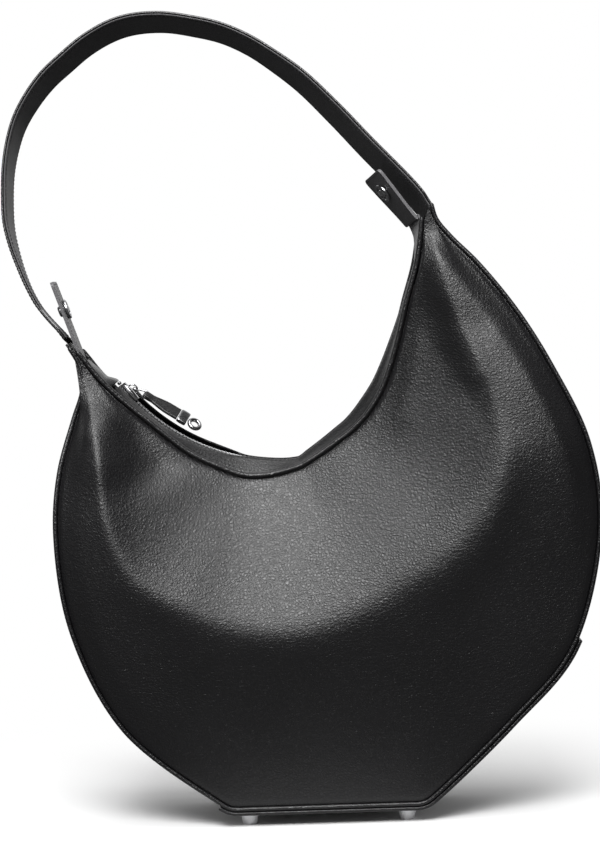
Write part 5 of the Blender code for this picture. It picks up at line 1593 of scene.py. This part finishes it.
def make_stud(side, centre, thick):
    """A cap with a raised rim, a hollow and a domed boss on the inner side, and a post on the outer side.

    Each outline is a list of radius and height as shares of the piece's own.
    """
    face = TAB_WALL / 2 + GAP
    boss = [(0.46 * math.cos(t), 0.5 + 0.5 * math.sin(t)) for t in np.linspace(0.0, math.pi / 2, 7)[:-1]]
    cap = [(0.96, 0.0), (1.0, 0.16), (1.0, 0.5), (0.97, 0.68), (0.88, 0.78), (0.79, 0.70), (0.74, 0.45),
           (0.60, 0.36), *boss, (0.03, 1.0)]
    post = [(0.97, 0.0), (1.0, 0.1), (1.0, 0.62), (0.92, 0.86), (0.78, 1.0), (0.42, 1.0), (0.30, 0.80), (0.03, 0.76)]
    shank = [(STUD_SHANK_RADIUS, -TAB_WALL / 2), (STUD_SHANK_RADIUS, face)]
    for name, way, start, outline, radius, height in (
            ("cap", thick, shank, cap, STUD_CAP_RADIUS, STUD_CAP_HEIGHT),
            ("post", -thick, [], post, STUD_POST_RADIUS, STUD_POST_HEIGHT)):
        profile = start + [(radius * a, face + height * b) for a, b in outline]
        piece = turned_piece(f"{side}_stud_{name}_metal", centre, way, profile)
        dress(piece, f"{side}_tab", "polished_metal", [f"{side}_stud_{name}"])


def finish_solid(node, kind):
    """Give a solid of the frame, which keeps its own shape, the material of a kind."""
    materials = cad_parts[node].data.materials
    materials.clear()
    materials.append(material(kind))


def make_feet():
    """Tapered metal feet with a rounded bottom edge and their shanks, and the finish of washers and board."""
    foot_top = base_level() - GAP - OVERLAY_WALL - GAP
    turn = np.linspace(0.0, math.pi / 2, 6)
    foot = [(FOOT_BOTTOM_RADIUS - FOOT_EDGE + FOOT_EDGE * math.sin(t), FOOT_EDGE * (1 - math.cos(t))) for t in turn]
    top = [(FOOT_TOP_RADIUS - FOOT_EDGE / 2 + FOOT_EDGE / 2 * math.cos(t),
            foot_top - FOOT_EDGE / 2 + FOOT_EDGE / 2 * math.sin(t)) for t in turn]
    for name, x, y in foot_places():
        node = f"foot_{name}"
        shank_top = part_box(node)[1].z
        profile = ([(FOOT_BOTTOM_RADIUS * 0.3, 0.0)] + foot + top
                   + [(FOOT_SHANK_RADIUS, foot_top), (FOOT_SHANK_RADIUS, shank_top)])
        piece = turned_piece(f"{node}_metal", (x, y, 0.0), (0, 0, 1), profile)
        # The feet's satin metal carries a painted reflection of the white floor
        dress(piece, "bag_body", "satin_metal", [node])
        finish_solid(f"washer_{name}", "satin metal")
    finish_solid("base_board", "board")


def make_lining():
    """The loose cloth lining, open along the zip: front side, bottom and back side in one sheet.

    It follows the panels inside, further in by a wavy slack that grows away from the mouth.
    """
    places = even_places(*LINING_RIBS, 2, LINING_PITCH)
    shares = np.linspace(0.03, 1.0, 44)
    flat, depth = panel_middle(places, shares, FRAME_SOFTNESS_SHARE, LINING_INSET)
    seam, _normals = seam_points(places, LINING_INSET)
    mouth = at_ribs(places)[:, 0:2]
    down = shares[None, :]
    slack = 1.1 * MM * (1 + np.sin(flat[..., 0] * 150 + 3 * np.sin(flat[..., 1] * 60))) * down * (1 - down) * 4
    outer_depth = depth + np.minimum(fold_height(flat), 0.0) - PANEL_WALL / 2 - LINING_LOOSENESS - slack
    turn = np.linspace(-1.0, 1.0, 15)[1:-1]

    def wrapped(side_depth, bottom):
        """One face of the cloth: front side, bottom and back side."""
        front, back = in_space(flat, -side_depth), in_space(flat, side_depth)
        front[:, -1], back[:, -1] = in_space(bottom, -side_depth[:, -1]), in_space(bottom, side_depth[:, -1])
        middle = in_space(bottom[:, None], outer_depth[:, -1:] * turn[None, :])
        return np.concatenate([front, middle, back[:, ::-1]], axis=1)

    outer = wrapped(outer_depth, seam)
    inner = wrapped(outer_depth - LINING_WALL, seam + unit(mouth - seam) * LINING_WALL)
    piece = sheet_piece("lining_cloth_sheet", outer, inner, uv=flat_map(outer))
    dress(piece, "bag_body", "lining_cloth", ["lining"])


# Studio

def make_floor():
    """A wide pale floor, white far from the bag, that keeps the bag's shadow near it.

    To shines and bounced light the floor shows a painted colour instead of its paper: dark far off, a painted shade of
    the room, and lighter close to the bag, a painted reflection of lit floor.
    """
    half = FLOOR_WIDTH / 2
    mesh = bpy.data.meshes.new("floor")
    mesh.from_pydata([(-half, -half, 0.0), (half, -half, 0.0), (half, half, 0.0), (-half, half, 0.0)], [],
                     [(0, 1, 2, 3)])
    floor = bpy.data.objects.new("floor", mesh)
    bpy.context.scene.collection.objects.link(floor)
    s = Shade("floor paper")
    camera = s.ray("Is Camera Ray")
    seen = camera.most(s.ray("Is Transmission Ray"))
    length = s.node("ShaderNodeVectorMath", {"operation": "LENGTH"}, {0: s.place})
    distance = Sock(s, length.outputs["Value"])
    far = distance.ease(0.09, 0.42)
    near = 1 - distance.ease(0.08, 0.16)
    grain = s.noise(900, 2.0)
    paper = s.mix(grain, (0.96, 0.96, 0.96), (0.99, 0.99, 0.99))
    # Painted shade and painted reflection: the colour that all but camera rays see, dark far off and lighter near the
    # bag
    mirrored = s.mix(near, (0.08, 0.08, 0.08), (0.60, 0.60, 0.60))
    s.done(s.mix(camera, mirrored, paper), 0.9, Specular_IOR_Level=0.0)
    glow = s.node("ShaderNodeEmission", None, {"Color": (1.0, 1.0, 1.0), "Strength": 1.0})
    mixed = s.node("ShaderNodeMixShader", None, {0: seen * far, 1: s.shader.outputs[0], 2: glow.outputs[0]})
    s.tree.links.new(mixed.outputs[0], s.tree.nodes["Material Output"].inputs["Surface"])
    mesh.materials.append(s.material)


def make_world(level, mirrored, backdrop):
    """An even world: white to the camera and through glass, dim where a shine mirrors the room in front, lighter
    where it mirrors the backdrop behind the bag, and of the ambient level for all other light."""
    world = bpy.data.worlds.new("studio")
    world.use_nodes = True
    bpy.context.scene.world = world
    s = Shade("studio", world.node_tree)
    seen = s.ray("Is Camera Ray").most(s.ray("Is Transmission Ray"))
    shine = s.ray("Is Glossy Ray")
    way = s.node("ShaderNodeSeparateXYZ", None, {0: s.coordinates["Generated"]})
    behind = Sock(s, way.outputs["Y"]).ease(0.0, 0.6)
    s.feed(s.tree.nodes["Background"].inputs["Color"], (1.0, 1.0, 1.0))
    s.feed(s.tree.nodes["Background"].inputs["Strength"],
           seen.most(level * (1 - shine) + shine * (mirrored + behind * backdrop)))


def make_lamp(name, place, width, height, power):
    """A soft rectangular lamp that faces the bag."""
    lamp = bpy.data.lights.new(name, "AREA")
    lamp.shape = "RECTANGLE"
    lamp.size = width
    lamp.size_y = height
    lamp.energy = power
    made = bpy.data.objects.new(name, lamp)
    bpy.context.scene.collection.objects.link(made)
    back = Vector(place) - Vector(LAMP_TARGET)
    made.matrix_world = Matrix.Translation(place) @ back.to_track_quat("Z", "Y").to_matrix().to_4x4()


def make_camera(studio):
    """The camera at the photograph's angle, rolled about its line of sight."""
    tilt = studio.camera_elevation
    roll = studio.camera_roll
    back = Vector((0.0, -math.cos(tilt), math.sin(tilt)))
    level = Vector((1.0, 0.0, 0.0))
    up = back.cross(level)
    right = level * math.cos(roll) + up * math.sin(roll)
    up = up * math.cos(roll) - level * math.sin(roll)
    camera = bpy.data.cameras.new("camera")
    camera.lens = studio.camera_lens
    camera.sensor_width = 36.0
    camera.clip_start = 0.05
    camera.clip_end = 200.0
    made = bpy.data.objects.new("camera", camera)
    place = Vector((0.0, 0.0, studio.camera_height)) + back * studio.camera_distance
    turn = Matrix((right, up, back)).transposed().to_4x4()
    made.matrix_world = Matrix.Translation(place) @ turn
    bpy.context.scene.collection.objects.link(made)
    bpy.context.scene.camera = made


class HANDBAG_OT_studio(bpy.types.Operator):
    """Floor, pale room, four soft lamps and the camera"""
    bl_idname = "handbag.studio"
    bl_label = "Studio"

    def execute(self, context):
        studio = context.scene.handbag_studio
        make_floor()
        make_world(studio.world_level, studio.room_level, studio.backdrop_level)
        for name, place, width, height in LAMPS:
            make_lamp(f"{name} lamp", place, width, height, getattr(studio, f"{name}_power"))
        make_camera(studio)
        context.scene.view_settings.view_transform = "Standard"
        return {"FINISHED"}


class HANDBAG_OT_body(bpy.types.Operator):
    """Front and back panels, gusset and base overlay"""
    bl_idname = "handbag.body"
    bl_label = "Leather body"

    def execute(self, context):
        for name, side in SIDES:
            make_panel(name, side)
        make_gusset()
        make_overlay()
        return {"FINISHED"}


class HANDBAG_OT_seams(bpy.types.Operator):
    """Piping round the body and the rolled binding of the mouth"""
    bl_idname = "handbag.seams"
    bl_label = "Piping and binding"

    def execute(self, context):
        for name, side in SIDES:
            make_seams(name, side)
        return {"FINISHED"}


class HANDBAG_OT_zip(bpy.types.Operator):
    """Facings, tapes, teeth, stops, slider and pull"""
    bl_idname = "handbag.zip"
    bl_label = "Zip"

    def execute(self, context):
        make_zip_panel()
        make_teeth()
        make_slider()
        make_bridge()
        make_pull()
        return {"FINISHED"}


class HANDBAG_OT_strap(bpy.types.Operator):
    """Strap of outer leather and lining, with its stitches"""
    bl_idname = "handbag.strap"
    bl_label = "Strap"

    def execute(self, context):
        make_strap()
        return {"FINISHED"}


class HANDBAG_OT_tabs(bpy.types.Operator):
    """Corner tabs with their metal studs"""
    bl_idname = "handbag.tabs"
    bl_label = "Tabs and studs"

    def execute(self, context):
        make_tab("left")
        make_tab("right")
        return {"FINISHED"}


class HANDBAG_OT_base(bpy.types.Operator):
    """Metal feet, washers and the board inside the base"""
    bl_idname = "handbag.base"
    bl_label = "Feet and board"

    def execute(self, context):
        make_feet()
        return {"FINISHED"}


class HANDBAG_OT_lining(bpy.types.Operator):
    """Loose cloth lining"""
    bl_idname = "handbag.lining"
    bl_label = "Lining"

    def execute(self, context):
        make_lining()
        return {"FINISHED"}


class HANDBAG_PT_panel(bpy.types.Panel):
    """The handbag's pieces and settings"""
    bl_idname = "HANDBAG_PT_panel"
    bl_label = "Handbag"
    bl_space_type = "VIEW_3D"
    bl_region_type = "UI"
    bl_category = "Handbag"

    def draw(self, context):
        for operator in OPERATORS:
            self.layout.operator(operator.bl_idname)
        for settings in (context.scene.handbag_shape, context.scene.handbag_finish, context.scene.handbag_studio):
            box = self.layout.box()
            for name in settings.__annotations__:
                box.prop(settings, name)


SETTINGS = (HandbagShape, HandbagFinish, HandbagStudio)
OPERATORS = (HANDBAG_OT_studio, HANDBAG_OT_body, HANDBAG_OT_seams, HANDBAG_OT_zip, HANDBAG_OT_strap,
             HANDBAG_OT_tabs, HANDBAG_OT_base, HANDBAG_OT_lining)


def register():
    """Register the settings, the operators and the panel."""
    for item in (*SETTINGS, *OPERATORS, HANDBAG_PT_panel):
        bpy.utils.register_class(item)
    bpy.types.Scene.handbag_shape = PointerProperty(type=HandbagShape)
    bpy.types.Scene.handbag_finish = PointerProperty(type=HandbagFinish)
    bpy.types.Scene.handbag_studio = PointerProperty(type=HandbagStudio)


def unregister():
    """Take back what register did."""
    del bpy.types.Scene.handbag_studio
    del bpy.types.Scene.handbag_finish
    del bpy.types.Scene.handbag_shape
    for item in reversed((*SETTINGS, *OPERATORS, HANDBAG_PT_panel)):
        bpy.utils.unregister_class(item)


def main():
    """Build every piece in order."""
    register()
    for item in OPERATORS:
        group, name = item.bl_idname.split(".")
        getattr(getattr(bpy.ops, group), name)()


if __name__ == "__main__":
    main()
